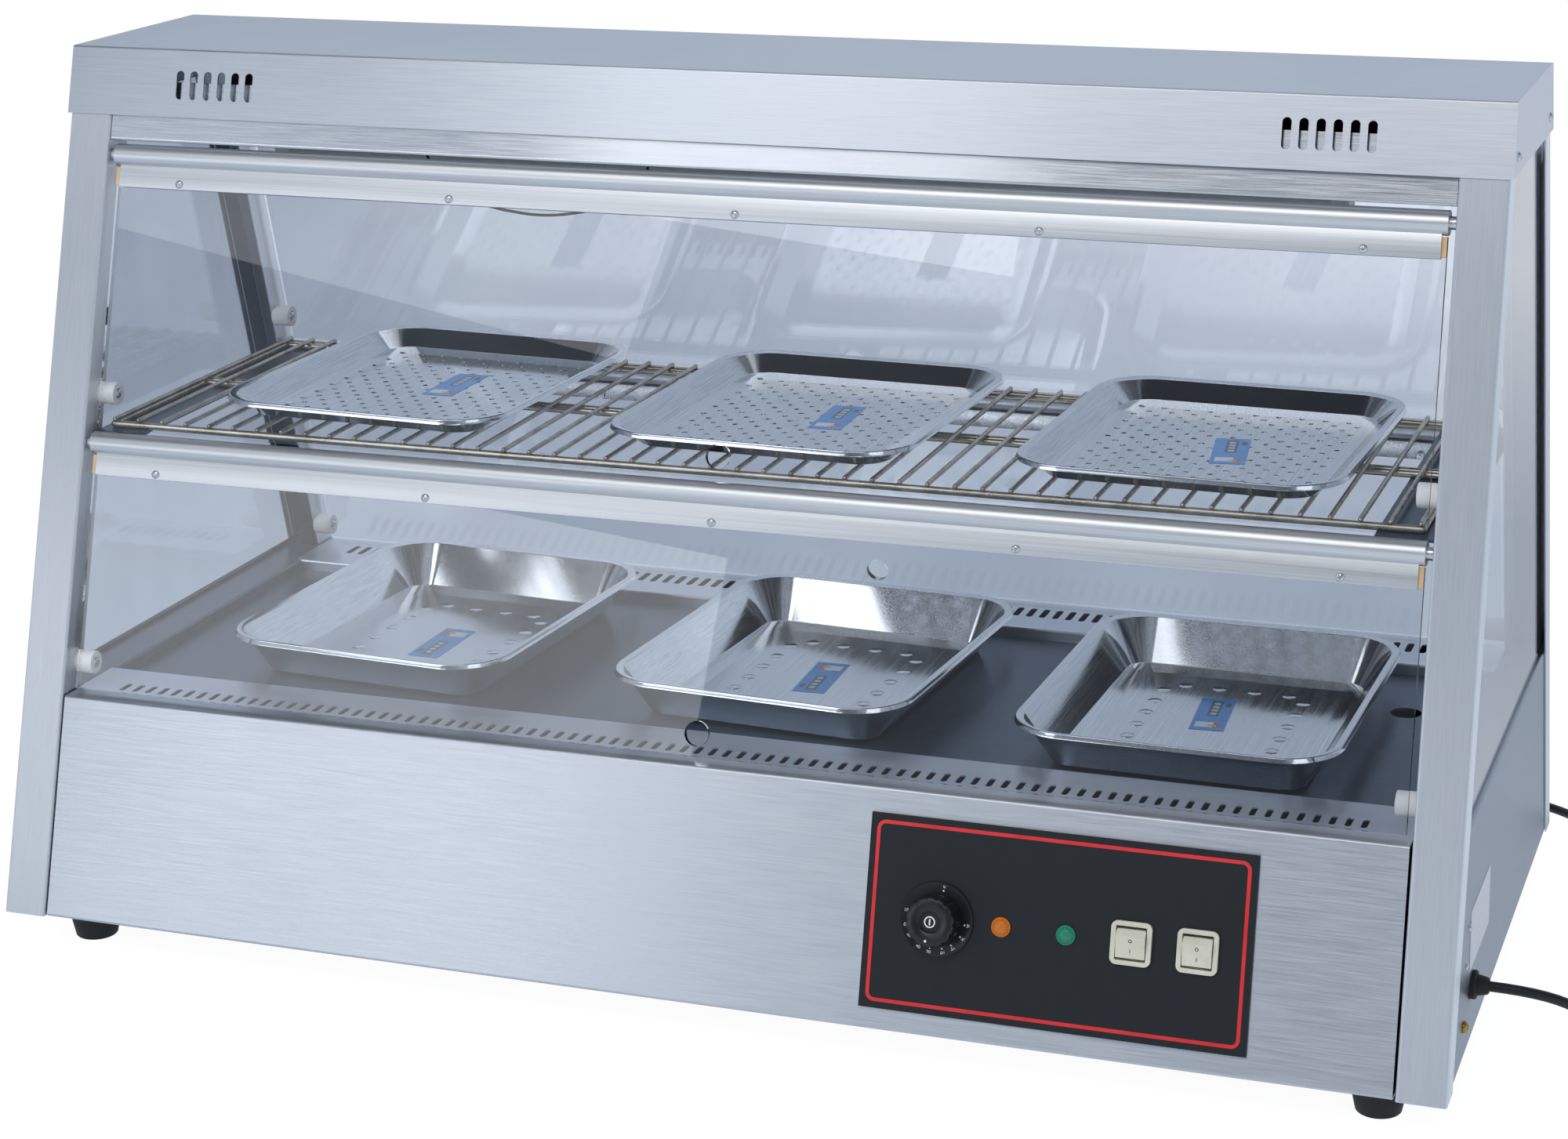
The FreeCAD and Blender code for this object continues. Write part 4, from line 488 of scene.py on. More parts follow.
# Doors: an aluminium tube with its flange carries each pane; the pane hangs behind the flange
# on a tan gasket, clamped by a strip and five screws. Pins in the tube's ends turn in the posts.
TUBE_RADIUS, TUBE_DEPTH, TUBE_HALF, FLANGE_HALF, DOOR_HALF = 9.5, 10.0, 557.0, 552.0, 556.0
FLANGE_FACE, FLANGE_SHEET, FLANGE_DROP, GLASS_BACK = 6.0, 1.5, 27.0, 14.0
SCREWS_PER_DOOR, FIRST_SCREW, SCREW_PITCH, SCREW_LINE = 5, -495, 247.5, 22.5
HINGE_HEIGHTS = (("lower", 382.4), ("upper", 616.0))


def bar_along_x(outline, half):
    """Closed prism along X from an outline of (depth, rise) points, in millimetres."""
    made = bmesh.new()
    ends = [[made.verts.new((side * half * MM, depth * MM, rise * MM)) for depth, rise in outline]
            for side in (-1, 1)]
    count = len(outline)
    for index in range(count):
        after = (index + 1) % count
        made.faces.new((ends[0][index], ends[0][after], ends[1][after], ends[1][index]))
    for ring in ends:
        made.faces.new(ring)
    bmesh.ops.recalc_face_normals(made, faces=made.faces)
    return made


def strip(depth, thickness, low, high, round_off=0.4):
    """Outline of a flat strip with its corners eased."""
    corners = []
    for side_d, side_r, start in ((1, 1, 0), (0, 1, 90), (0, 0, 180), (1, 0, 270)):
        centre = (depth + round_off + side_d * (thickness - 2 * round_off),
                  low + round_off + side_r * (high - low - 2 * round_off))
        for step in range(4):
            angle = math.radians(start + 30 * step)
            corners.append((centre[0] + round_off * math.cos(angle),
                            centre[1] + round_off * math.sin(angle)))
    return corners


# Extruded and satin anodised aluminium: fine lines along the bar, which soften its highlight.
satin_aluminium, tree, shader = finish_of("aluminium_extruded_satin", {"Metallic": 1.0})
draw_lines = grain(tree, (220, 1.2, 1.2), 3.0)
tree.links.new(ramp(tree, draw_lines, ("#D9DCE0", "#ECEEF0")), shader.inputs["Base Color"])
tree.links.new(spread_to(tree, draw_lines, 0.36, 0.44), shader.inputs["Roughness"])
tree.links.new(bump(tree, draw_lines, 0.2, 0.03), shader.inputs["Normal"])
# Gasket: rubber gone tan and dull with heat.
tan_gasket = moulded("rubber_gasket_aged", ("#C4A277", "#DDBE98"), 0.7)

TUBE_END, TUBE_BORE = 2 * TUBE_HALF, 8
tube = lathe([(TUBE_BORE, 0), (TUBE_BORE, TUBE_END), (8.4, TUBE_END), (9.1, TUBE_END),
              (TUBE_RADIUS, TUBE_END - 0.4), (TUBE_RADIUS, 0.4), (9.1, 0), (TUBE_BORE, 0)], 64)
bmesh.ops.remove_doubles(tube, verts=tube.verts, dist=1e-6)
bmesh.ops.recalc_face_normals(tube, faces=tube.faces)
flange = bar_along_x(strip(FLANGE_FACE, FLANGE_SHEET, -FLANGE_DROP, -TUBE_RADIUS + 1.5), FLANGE_HALF)
gasket = bar_along_x(strip(FLANGE_FACE + FLANGE_SHEET, 1.5, -FLANGE_DROP + 1, -TUBE_RADIUS - 1), DOOR_HALF)
clamp = bar_along_x(strip(GLASS_BACK, FLANGE_SHEET, -FLANGE_DROP, -TUBE_RADIUS - 1), FLANGE_HALF)
pivot = lathe([(0, -12), (8, -12), (8, 0), (5, 0), (5, 4.8), (3, 4.8), (3, 8.4), (2.4, 9), (0, 9)], 32)
nut = lathe([(0, 0), (3.5, 0), (3.5, 2.2), (3.2, 2.5), (1.75, 2.5), (1.75, 3.4), (0, 3.4)], 12)
door_heads = screws(SCREWS_PER_DOOR, (FIRST_SCREW, FLANGE_FACE, -SCREW_LINE), (SCREW_PITCH, 0, 0),
                    (0, -1, 0), 3.5)
for side, face in (("front", on_front), ("rear", half_turn @ on_front)):
    for storey, height in HINGE_HEIGHTS:
        door = "door_" + side + "_" + storey
        axis = face @ Matrix.Translation((0, 0, height / math.cos(LEAN) * MM))
        tube_end = at(-TUBE_HALF, TUBE_DEPTH, 0, (1, 0, 0))
        piece(door + "_tube_and_flange", joined([(tube, axis @ tube_end), (flange, axis)]), door,
              satin_aluminium, [door + "_bar"])
        piece(door + "_gasket", joined([(gasket, axis)]), door, tan_gasket,
              [door + "_fittings"])
        metal = [(clamp, axis), (door_heads, axis)]
        for way in (-1, 1):
            metal.append((pivot, axis @ at(way * TUBE_HALF, TUBE_DEPTH, 0, (way, 0, 0))))
        for index in range(SCREWS_PER_DOOR):
            along = FIRST_SCREW + SCREW_PITCH * index
            metal.append((nut, axis @ at(along, GLASS_BACK + FLANGE_SHEET, -SCREW_LINE, (0, 1, 0))))
        piece(door + "_clamp_and_screws", joined(metal), door, screw_steel)
        dress(pane_glass, door + "_glass")

# Wire shelf: nickel-plated wires welded across rails, gone khaki with heat. The wires' ends
# are round and catch the light over the front rail.
nickel, tree, shader = finish_of("nickel_wire_heat_stained", {"Metallic": 1.0})
stain = grain(tree, (30, 18, 30), 4.0)
tree.links.new(ramp(tree, stain, ("#948A79", "#CDC5B8")), shader.inputs["Base Color"])
tree.links.new(spread_to(tree, stain, 0.2, 0.38), shader.inputs["Roughness"])
tree.links.new(bump(tree, grain(tree, (3, 3, 3)), 0.15, 0.05), shader.inputs["Normal"])
SHELF_TOP, WIRE, RAIL = 428.0, 4.0, 6.0
WIRES, WIRE_PITCH, WIRE_HALF = 50, 22.4, 156
SIDE_RAIL_X, END_RAIL_Y, MIDDLE_RAILS_Y = 550, 155, (-4.5, 4.5, 146)
wire_height = SHELF_TOP - WIRE / 2
rail_height = wire_height - WIRE / 2 - RAIL / 2 + 0.5

rod_row, given, result = node_tree("welded_wires", {
    "Geometry": "Geometry", "Count": "Int", "First": "Vector", "Step": "Vector", "Reach": "Vector",
    "Radius": "Float", "Finish": "Material"})
line = add(rod_row, "GeometryNodeMeshLine", {"Count": given.outputs["Count"],
                                             "Start Location": given.outputs["First"],
                                             "Offset": given.outputs["Step"]})
middle = add(rod_row, "GeometryNodeCurvePrimitiveLine", {"End": given.outputs["Reach"]})
section = add(rod_row, "GeometryNodeCurvePrimitiveCircle", {"Resolution": 16,
                                                            "Radius": given.outputs["Radius"]})
rod = add(rod_row, "GeometryNodeCurveToMesh", {"Curve": middle.outputs[0],
                                               "Profile Curve": section.outputs[0], "Fill Caps": True})
ball = add(rod_row, "GeometryNodeMeshUVSphere", {"Segments": 16, "Rings": 8,
                                                 "Radius": given.outputs["Radius"]})
far_ball = add(rod_row, "GeometryNodeTransform", {"Geometry": ball.outputs[0],
                                                  "Translation": given.outputs["Reach"]})
whole_rod = add(rod_row, "GeometryNodeJoinGeometry")
for part in (rod, ball, far_ball):
    rod_row.links.new(part.outputs[0], whole_rod.inputs[0])
rods = add(rod_row, "GeometryNodeInstanceOnPoints", {"Points": line.outputs[0],
                                                     "Instance": whole_rod.outputs[0]})
real = add(rod_row, "GeometryNodeRealizeInstances", {"Geometry": rods.outputs[0]})
done = add(rod_row, "GeometryNodeSetMaterial", {"Geometry": real.outputs[0],
                                                "Material": given.outputs["Finish"]})
rod_row.links.new(done.outputs[0], result.inputs[0])


def rods_in_row(count, first, step, reach, diameter):
    """A row of round rods of one reach, each a step further, in millimetres."""
    return grown("rods", rod_row, {"Count": count, "First": Vector(first) * MM,
                                   "Step": Vector(step) * MM, "Reach": Vector(reach) * MM,
                                   "Radius": diameter / 2 * MM, "Finish": nickel})


whole = Matrix()
first_wire = -WIRE_PITCH * (WIRES - 1) / 2
wires = rods_in_row(WIRES, (first_wire, -WIRE_HALF, wire_height), (WIRE_PITCH, 0, 0),
                    (0, 2 * WIRE_HALF, 0), WIRE)
shelf = [(wires, whole)]
for y in (-END_RAIL_Y, *MIDDLE_RAILS_Y, END_RAIL_Y):
    rail = rods_in_row(1, (-SIDE_RAIL_X, y, rail_height), NO_STEP, (2 * SIDE_RAIL_X, 0, 0), RAIL)
    shelf.append((rail, whole))
for x in (-SIDE_RAIL_X, SIDE_RAIL_X):
    rail = rods_in_row(1, (x, -END_RAIL_Y, rail_height), NO_STEP, (0, 2 * END_RAIL_Y, 0), RAIL)
    shelf.append((rail, whole))
piece("nickel_wire_shelf", joined(shelf), "wire_shelf", nickel, ["wire_shelf"], sharp=60)


# Trays and pans: drawn from stainless sheet in one stroke and mirror polished, with a flat rim
# that is rolled under. The trays' floors are punched, the pans' floors have raised dots.
TRAY_WIDTH, CORNER, RIM, ROLL_DROP, SHEET = 262.0, 48.0, 9.0, 5.0, 0.8
CORNER_STEPS = 24


def eased(points, radius, steps=5):
    """The same line with its inner corners rounded."""
    line = [points[0]]
    for before, corner, after in zip(points, points[1:], points[2:]):
        before, corner, after = Vector(before), Vector(corner), Vector(after)
        into, out = (corner - before).normalized(), (after - corner).normalized()
        half = into.angle(out) / 2
        cut = min(radius * math.tan(half), 0.45 * min((corner - before).length, (after - corner).length))
        reach = cut / math.tan(half)
        start, finish = corner - into * cut, corner + out * cut
        centre = corner + (out - into).normalized() * (reach / math.cos(half))
        for step in range(steps + 1):
            share = step / steps
            arm = (start - centre).slerp(finish - centre, share)
            line.append(tuple(centre + arm))
    return line + [points[-1]]


def drawn_vessel(length, depth, inset):
    """Sheet of a tray as one surface: its wall swept round the corners, and its floor."""
    section = eased([(0, depth - ROLL_DROP), (0, depth), (RIM, depth), (inset, SHEET), (inset + 16, SHEET)],
                    3.5, 8)
    made = bmesh.new()
    rings = []
    for inward, height in section:
        ring = []
        for quarter, (side_x, side_y) in enumerate(((1, 1), (-1, 1), (-1, -1), (1, -1))):
            centre_x = side_x * (TRAY_WIDTH / 2 - CORNER)
            centre_y = side_y * (length / 2 - CORNER)
            radius = CORNER - inward
            for step in range(CORNER_STEPS + 1):
                angle = math.radians(90 * (quarter + step / CORNER_STEPS))
                ring.append(made.verts.new(((centre_x + radius * math.cos(angle)) * MM,
                                            (centre_y + radius * math.sin(angle)) * MM, height * MM)))
        rings.append(ring)
    for lower, upper in zip(rings, rings[1:]):
        for index in range(len(lower)):
            after = (index + 1) % len(lower)
            made.faces.new((lower[index], upper[index], upper[after], lower[after]))
    floor_face = made.faces.new(rings[-1])
    bmesh.ops.recalc_face_normals(made, faces=made.faces)
    if floor_face.normal.z < 0:
        bmesh.ops.reverse_faces(made, faces=made.faces)
    return made


def walled(shape, thickness):
    """Gives a sheet its thickness on the side away from its faces."""
    mesh = bpy.data.meshes.new("sheet")
    shape.to_mesh(mesh)
    holder = bpy.data.objects.new("sheet", mesh)
    bpy.context.collection.objects.link(holder)
    modifier = holder.modifiers.new("wall", "SOLIDIFY")
    modifier.thickness = thickness * MM
    modifier.offset = -1
    modifier.use_even_offset = True
    made = bpy.data.meshes.new_from_object(holder.evaluated_get(bpy.context.evaluated_depsgraph_get()))
    bpy.data.objects.remove(holder)
    return made


# Perforations: one tree punches staggered rows of round holes through a closed sheet.
punch, given, result = node_tree("punched_rows", {
    "Geometry": "Geometry", "Columns": "Int", "Rows": "Int", "Pitch Across": "Float",
    "Pitch Along": "Float", "Hole": "Float", "Finish": "Material"})
size = [add(punch, "ShaderNodeMath", {0: given.outputs[pitch], 1: given.outputs[count]},
            operation="MULTIPLY")
        for pitch, count in (("Pitch Across", "Columns"), ("Pitch Along", "Rows"))]
inner = [add(punch, "ShaderNodeMath", {0: side.outputs[0], 1: given.outputs[pitch]}, operation="SUBTRACT")
         for side, pitch in zip(size, ("Pitch Across", "Pitch Along"))]
lattice = add(punch, "GeometryNodeMeshGrid", {"Size X": inner[0].outputs[0],
                                              "Size Y": inner[1].outputs[0],
                                              "Vertices X": given.outputs["Columns"],
                                              "Vertices Y": given.outputs["Rows"]})
number = add(punch, "GeometryNodeInputIndex")
row = add(punch, "ShaderNodeMath", {0: number.outputs[0], 1: given.outputs["Rows"]}, operation="MODULO")
odd = add(punch, "ShaderNodeMath", {0: row.outputs[0], 1: 2.0}, operation="MODULO")
slip = add(punch, "ShaderNodeMath", {0: odd.outputs[0], 1: -0.5}, operation="ADD")
slip = add(punch, "ShaderNodeMath", {0: slip.outputs[0], 1: given.outputs["Pitch Across"]},
           operation="MULTIPLY")
slip = add(punch, "ShaderNodeMath", {0: slip.outputs[0], 1: 0.5}, operation="MULTIPLY")
shift = add(punch, "ShaderNodeCombineXYZ", {0: slip.outputs[0]})
staggered = add(punch, "GeometryNodeSetPosition", {"Geometry": lattice.outputs[0],
                                                   "Offset": shift.outputs[0]})
radius = add(punch, "ShaderNodeMath", {0: given.outputs["Hole"], 1: 0.5}, operation="MULTIPLY")
tool = add(punch, "GeometryNodeMeshCylinder", {"Vertices": 14, "Radius": radius.outputs[0], "Depth": 0.01})
tools = add(punch, "GeometryNodeInstanceOnPoints", {"Points": staggered.outputs[0],
                                                    "Instance": tool.outputs[0]})
tools = add(punch, "GeometryNodeRealizeInstances", {"Geometry": tools.outputs[0]})
cut = add(punch, "GeometryNodeMeshBoolean", {"Mesh 1": given.outputs["Geometry"],
                                             "Mesh 2": tools.outputs[0]}, operation="DIFFERENCE")
real = add(punch, "GeometryNodeRealizeInstances", {"Geometry": cut.outputs["Mesh"]})
done = add(punch, "GeometryNodeSetMaterial", {"Geometry": real.outputs[0],
                                              "Material": given.outputs["Finish"]})
punch.links.new(done.outputs[0], result.inputs[0])

# Mirror-polished stainless: slow waves from the press bend what it reflects, and faint lines
# from the polishing belt run along it.
polished, tree, shader = finish_of("stainless_drawn_mirror_polished", {"Metallic": 1.0})
waves = grain(tree, (90, 60, 40), 2.0)
belt = grain(tree, (1.0, 120, 1.0), 3.0)
tree.links.new(ramp(tree, belt, ("#C9CBCE", "#DEE0E2")), shader.inputs["Base Color"])
tree.links.new(spread_to(tree, belt, 0.07, 0.16), shader.inputs["Roughness"])
rough_waves = add(tree, "ShaderNodeBump", {"Height": waves, "Strength": 0.25, "Distance": 0.4 * MM})
fine_lines = add(tree, "ShaderNodeBump", {"Height": belt, "Strength": 0.06, "Distance": 0.05 * MM,
                                          "Normal": rough_waves.outputs[0]})
tree.links.new(fine_lines.outputs[0], shader.inputs["Normal"])

PANS = {"left": (-334.0, 10.0, -4.0), "centre": (20.0, 6.0, -4.0), "right": (362.0, -8.0, -1.0)}
TRAYS = {"left": (-329.0, 1.0, -3.0), "centre": (19.0, 0.0, -2.0), "right": (360.0, 0.0, -2.0)}
PLATE_TOP = 198.2
pan_mesh = walled(drawn_vessel(length=320.0, depth=40.0, inset=28.0), SHEET)
tray_mesh = walled(drawn_vessel(length=306.0, depth=20.0, inset=22.0), SHEET)
floor_dot = lathe([(0, SHEET - 0.2), (6, SHEET - 0.2), (6, SHEET), (5.2, SHEET + 0.4), (3.5, SHEET + 0.62),
                   (0, SHEET + 0.7)], 24)
dot_spots = [(x, y) for y in (-89, 89) for x in (-44, -15, 15, 44)]
dot_spots += [(x, y) for x in (-59, 59) for y in (-74, -44, -15, 15, 44, 74)]
HOLES = {"Columns": 10, "Rows": 19, "Pitch Across": 19.5 * MM, "Pitch Along": 12.5 * MM, "Hole": 5 * MM}


def laid(spot, height):
    """Place of a tray, pan or card from its middle and its turn, lying at this height."""
    x, y, turn = spot
    return at(x, y, height) @ Matrix.Rotation(math.radians(turn), 4, "Z")


for side in PANS:
    sheet = bmesh.new()
    sheet.from_mesh(pan_mesh)
    pan = joined([(sheet, whole)] + [(floor_dot, at(x, y, 0)) for x, y in dot_spots])
    tray = grown("tray", punch, {**HOLES, "Finish": polished}, tray_mesh.copy())
    for node, shape, place in (("pan_" + side, pan, laid(PANS[side], PLATE_TOP)),
                               ("tray_" + side, tray, laid(TRAYS[side], SHELF_TOP))):
        piece(node + "_polished", joined([(shape, place)]), node, polished, [node],
              sharp=40)

# Stickers: a plain blue card on each floor, with a dark stripe of pale bars, a white block with
# a warm patch, and a small dark tag. The print is drawn from the card's own UV, in millimetres.
CARD_WIDTH, CARD_LENGTH, CARD_SHEET = 28.5, 77.0, 0.2


def printed_card():
    """Card stock printed in flat blocks and varnished, so it shines a little."""
    made, tree, shader = finish_of("paper_card_printed_glossy", {"Roughness": 0.3, "Coat Weight": 0.3})
    place = add(tree, "ShaderNodeSeparateXYZ", {0: add(tree, "ShaderNodeTexCoord").outputs["UV"]})
    across, along = place.outputs[0], place.outputs[1]
    folded = add(tree, "ShaderNodeMath", {0: along, 1: 4.0}, operation="PINGPONG").outputs[0]
    bars = add(tree, "ShaderNodeMath", {0: folded, 1: 2.4}, operation="LESS_THAN").outputs[0]
    colour = ramp(tree, grain(tree, (4, 4, 4)), ("#2C86D6", "#3F9AE8"))
    for shade, low, high, left, right, pattern in (
            ("#26384F", 34, 72, 9.5, 19, None), ("#C9D3DE", 36, 70, 12, 17, bars),
            ("#E9EDF0", 7, 19, 3.5, 18, None), ("#C2562E", 7, 17, 18, 24, None),
            ("#E3B23C", 9, 13, 14, 21, None), ("#1E2B3D", 58, 67, 21.5, 26, None)):
        inside = []
        for value, start, end in ((along, low, high), (across, left, right)):
            for edge, way in ((start, "GREATER_THAN"), (end, "LESS_THAN")):
                inside.append(add(tree, "ShaderNodeMath", {0: value, 1: edge}, operation=way).outputs[0])
        if pattern:
            inside.append(pattern)
        mask = inside[0]
        for other in inside[1:]:
            mask = add(tree, "ShaderNodeMath", {0: mask, 1: other}, operation="MULTIPLY").outputs[0]
        colour = add(tree, "ShaderNodeMixRGB", {0: mask, 1: colour, 2: linear(shade)}).outputs[0]
    tree.links.new(colour, shader.inputs["Base Color"])
    return made


def card_shape():
    """A thin card, its lower face on z = 0; its UV tells millimetres from its front left corner."""
    made = bmesh.new()
    block = Matrix.Diagonal((CARD_WIDTH * MM, CARD_LENGTH * MM, CARD_SHEET * MM, 1))
    bmesh.ops.create_cube(made, size=1, matrix=Matrix.Translation((0, 0, CARD_SHEET / 2 * MM)) @ block)
    unwrapped = made.loops.layers.uv.new("UVMap")
    for face in made.faces:
        for corner in face.loops:
            x, y, height = corner.vert.co / MM
            corner[unwrapped].uv = (x + CARD_WIDTH / 2, y + CARD_LENGTH / 2)
    return made


card_print = printed_card()
CARDS = {"tray_left": (-318, 23, 0), "tray_centre": (38, 9, 2), "tray_right": (373, -4, 8),
         "pan_left": (-330, 1, 179), "pan_centre": (20, 11, 182), "pan_right": (357, 18, 4)}
for name, spot in CARDS.items():
    floor_top = (SHELF_TOP if name.startswith("tray") else PLATE_TOP) + SHEET + 0.05
    piece("card_" + name, joined([(card_shape(), laid(spot, floor_top))]), name, card_print)

# Control plate: an aluminium plate under black film, screwed to the front panel from behind. A
# red line is screen printed near its edge; the controls stand on one line, evenly apart.
CONTROL_MIDDLE, CONTROL_WIDTH, CONTROL_HEIGHT, CONTROL_BOTTOM = 302.0, 300.0, 148.0, 17.6
PLATE_FRONT, CONTROL_LINE = -1.5, 90.3
DIAL_X, AMBER_X, GREEN_X, POWER_X, LIGHT_X = [209.6 + 50.4 * place for place in range(5)]
black_film = moulded("black_film_screen_printed", ("#0B1016", "#12181F"), 0.6, grit=1.2, relief=0.02)
red_print = moulded("red_ink_screen_printed", ("#D2232A", "#DE2E33"), 0.45)
white_print = moulded("white_ink_screen_printed", ("#DADDE0", "#E9EBED"), 0.5)
dress(black_film, "control_plate")


def frame_line(width, height, radius, line, thickness):
    """Flat closed line round a rectangle with round corners, standing on y = 0 towards -Y."""
    made = bmesh.new()
    loops = []
    for inward in (0, line):
        loop = []
        for quarter, (side_x, side_z) in enumerate(((1, 1), (-1, 1), (-1, -1), (1, -1))):
            for step in range(9):
                angle = math.radians(90 * quarter + 11.25 * step)
                reach = radius - inward
                x = side_x * (width / 2 - radius) + reach * math.cos(angle)
                z = side_z * (height / 2 - radius) + reach * math.sin(angle)
                loop.append((x, z))
        loops.append(loop)
    rings = [[made.verts.new((x * MM, -lift * MM, z * MM)) for x, z in loops[number]]
             for number, lift in ((0, 0), (0, thickness), (1, thickness), (1, 0))]
    for ring, after_ring in zip(rings, rings[1:] + rings[:1]):
        for index in range(len(ring)):
            after = (index + 1) % len(ring)
            made.faces.new((ring[index], ring[after], after_ring[after], after_ring[index]))
    bmesh.ops.recalc_face_normals(made, faces=made.faces)
    return made


LINE_INSET = 5
plate_middle = Vector((CONTROL_MIDDLE, PLATE_FRONT, CONTROL_BOTTOM + CONTROL_HEIGHT / 2)) * MM
on_plate = on_front @ Matrix.Translation(plate_middle)
red_line = frame_line(CONTROL_WIDTH - 2 * LINE_INSET, CONTROL_HEIGHT - 2 * LINE_INSET, 7, 2.8, 0.12)
piece("control_plate_red_line", joined([(red_line, on_plate)]), "cabinet", red_print)

# Dial and knob: a fixed dished ring with dots and numbers, and a scalloped knob in front of
# it with a white ring mark and a pointer dot. Both are moulded in black plastic.
dial_black = moulded("black_plastic_moulded_half_gloss", ("#101114", "#191B1F"), 0.3, grit=1.0,
                     relief=0.015)
outward = at(DIAL_X, PLATE_FRONT, CONTROL_LINE, (0, -1, 0))
dial = lathe([(6, 0), (28.5, 0), (28.5, 1.8), (28.1, 2.2), (27.5, 2.2), (20.6, 1.0), (6, 1.0), (6, 0)], 72)
bmesh.ops.remove_doubles(dial, verts=dial.verts, dist=1e-6)
piece("dial_ring", joined([(dial, on_front @ outward)]), "cabinet", dial_black,
      ["dial_plate"])


def knob_shape(radius, height, flutes, depth, segments=144):
    """Scalloped knob on z = 0 with a recessed middle, its shaft towards -Z."""
    profile = [(3, -13.8, 0), (3, 0, 0), (radius, 0, 0.1), (radius, 3, 0.6),
               (radius - 0.7, height - 2.5, 1), (radius - 1.6, height - 0.8, 0.8),
               (radius - 3, height, 0.4), (radius - 6, height, 0), (8.5, height, 0),
               (8.0, height - 0.5, 0), (7.5, height - 1.5, 0)]
    made = bmesh.new()
    rings = []
    for reach, rise, share in profile:
        ring = []
        for turn in range(segments):
            angle = 2 * math.pi * turn / segments
            out = reach - max(0, math.cos(flutes * angle)) ** 2 * depth * share
            ring.append(made.verts.new((out * MM * math.cos(angle), out * MM * math.sin(angle), rise * MM)))
        rings.append(ring)
    for lower, upper in zip(rings, rings[1:]):
        for turn in range(segments):
            after = (turn + 1) % segments
            made.faces.new((lower[turn], lower[after], upper[after], upper[turn]))
    made.faces.new(list(reversed(rings[0])))
    made.faces.new(rings[-1])
    bmesh.ops.recalc_face_normals(made, faces=made.faces)
    return made


knob_base = on_front @ at(DIAL_X, PLATE_FRONT - 1.3, CONTROL_LINE, (0, -1, 0))
knob = knob_shape(radius=20, height=20, flutes=14, depth=1.0)
piece("temperature_knob_scalloped", joined([(knob, knob_base)]), "temperature_knob", dial_black,
      ["temperature_knob"], sharp=50)


def lettering(text, size):
    """Flat raised text centred on the origin, in the XY plane, as a mesh of its own."""
    line = bpy.data.curves.new("text", "FONT")
    line.body = text
    line.size = size * MM
    line.extrude = 0.05 * MM
    line.align_x = "CENTER"
    line.align_y = "CENTER"
    line.resolution_u = 3
    holder = bpy.data.objects.new("text", line)
    bpy.context.collection.objects.link(holder)
    mesh = bpy.data.meshes.new_from_object(holder.evaluated_get(bpy.context.evaluated_depsgraph_get()))
    bpy.data.objects.remove(holder)
    shape = bmesh.new()
    shape.from_mesh(mesh)
    return shape


def round_dial(angle, reach, lift):
    """Place on the dial at an angle clockwise from its top, upright, facing the operator."""
    turn = math.radians(angle)
    x, z = DIAL_X + reach * math.sin(turn), CONTROL_LINE + reach * math.cos(turn)
    return on_front @ at(x, PLATE_FRONT - lift, z) @ Matrix.Rotation(math.pi / 2, 4, "X")


numbers = {"0": 10, "30": 95, "40": 120, "50": 145, "60": 165, "70": 190, "80": 210, "90": 235, "100": 255,
           "110": 280}
dot = lathe([(0, 0), (0.7, 0), (0.7, 0.1), (0, 0.1)], 12)
scale_marks = []
for text, angle in numbers.items():
    scale_marks.append((lettering(text, 3.6), round_dial(angle, 25.6, 1.95)))
    scale_marks.append((dot, round_dial(angle, 22.3, 1.35)))
piece("dial_numbers", joined(scale_marks), "cabinet", white_print)
ring_mark = lathe([(3.4, 0), (4.4, 0), (4.4, 0.1), (3.4, 0.1), (3.4, 0)], 32)
bmesh.ops.remove_doubles(ring_mark, verts=ring_mark.verts, dist=1e-6)
bar_mark = bmesh.new()
bmesh.ops.create_cube(bar_mark, size=1, matrix=Matrix.Diagonal((1.2 * MM, 4.6 * MM, 0.2 * MM, 1)))
on_knob = [(ring_mark, round_dial(0, 0, 19.8)), (bar_mark, round_dial(0, 0, 19.85)),
           (lathe([(0, 0), (1.0, 0), (1.0, 0.12), (0, 0.12)], 16), round_dial(188, 14.5, 21.3))]
piece("knob_marks", joined(on_knob), "temperature_knob", white_print)

# Pilot lamps: lenses moulded in tinted acrylic, a dome with small facets over a plain collar.
# They snap into the plate from the front.
def lens_plastic(name, tint):
    """Tinted acrylic whose inner facets break up the light."""
    made, tree, shader = finish_of(name, {"Base Color": linear(tint), "Roughness": 0.12,
                                          "Transmission Weight": 0.25, "IOR": 1.49, "Coat Weight": 0.5})
    facets = add(tree, "ShaderNodeTexVoronoi", {"Scale": 420.0})
    tree.links.new(bump(tree, facets.outputs["Distance"], 0.5, 0.4), shader.inputs["Normal"])
    return made


lens = lathe([(0, -12), (6, -12), (6, 0), (7.5, 0), (7.5, 1.1), (7.1, 1.5), (6.3, 1.5), (6.0, 2.0),
              (4.8, 3.2), (3.0, 3.9), (0, 4.0)], 40)
for name, x, tint in (("amber", AMBER_X, "#F08400"), ("green", GREEN_X, "#0B9C78")):
    acrylic = lens_plastic("acrylic_lens_" + name, tint)
    place = on_front @ at(x, PLATE_FRONT, CONTROL_LINE, (0, -1, 0))
    piece("pilot_lens_" + name, joined([(lens, place)]), "cabinet", acrylic,
          ["pilot_lamp_" + name])
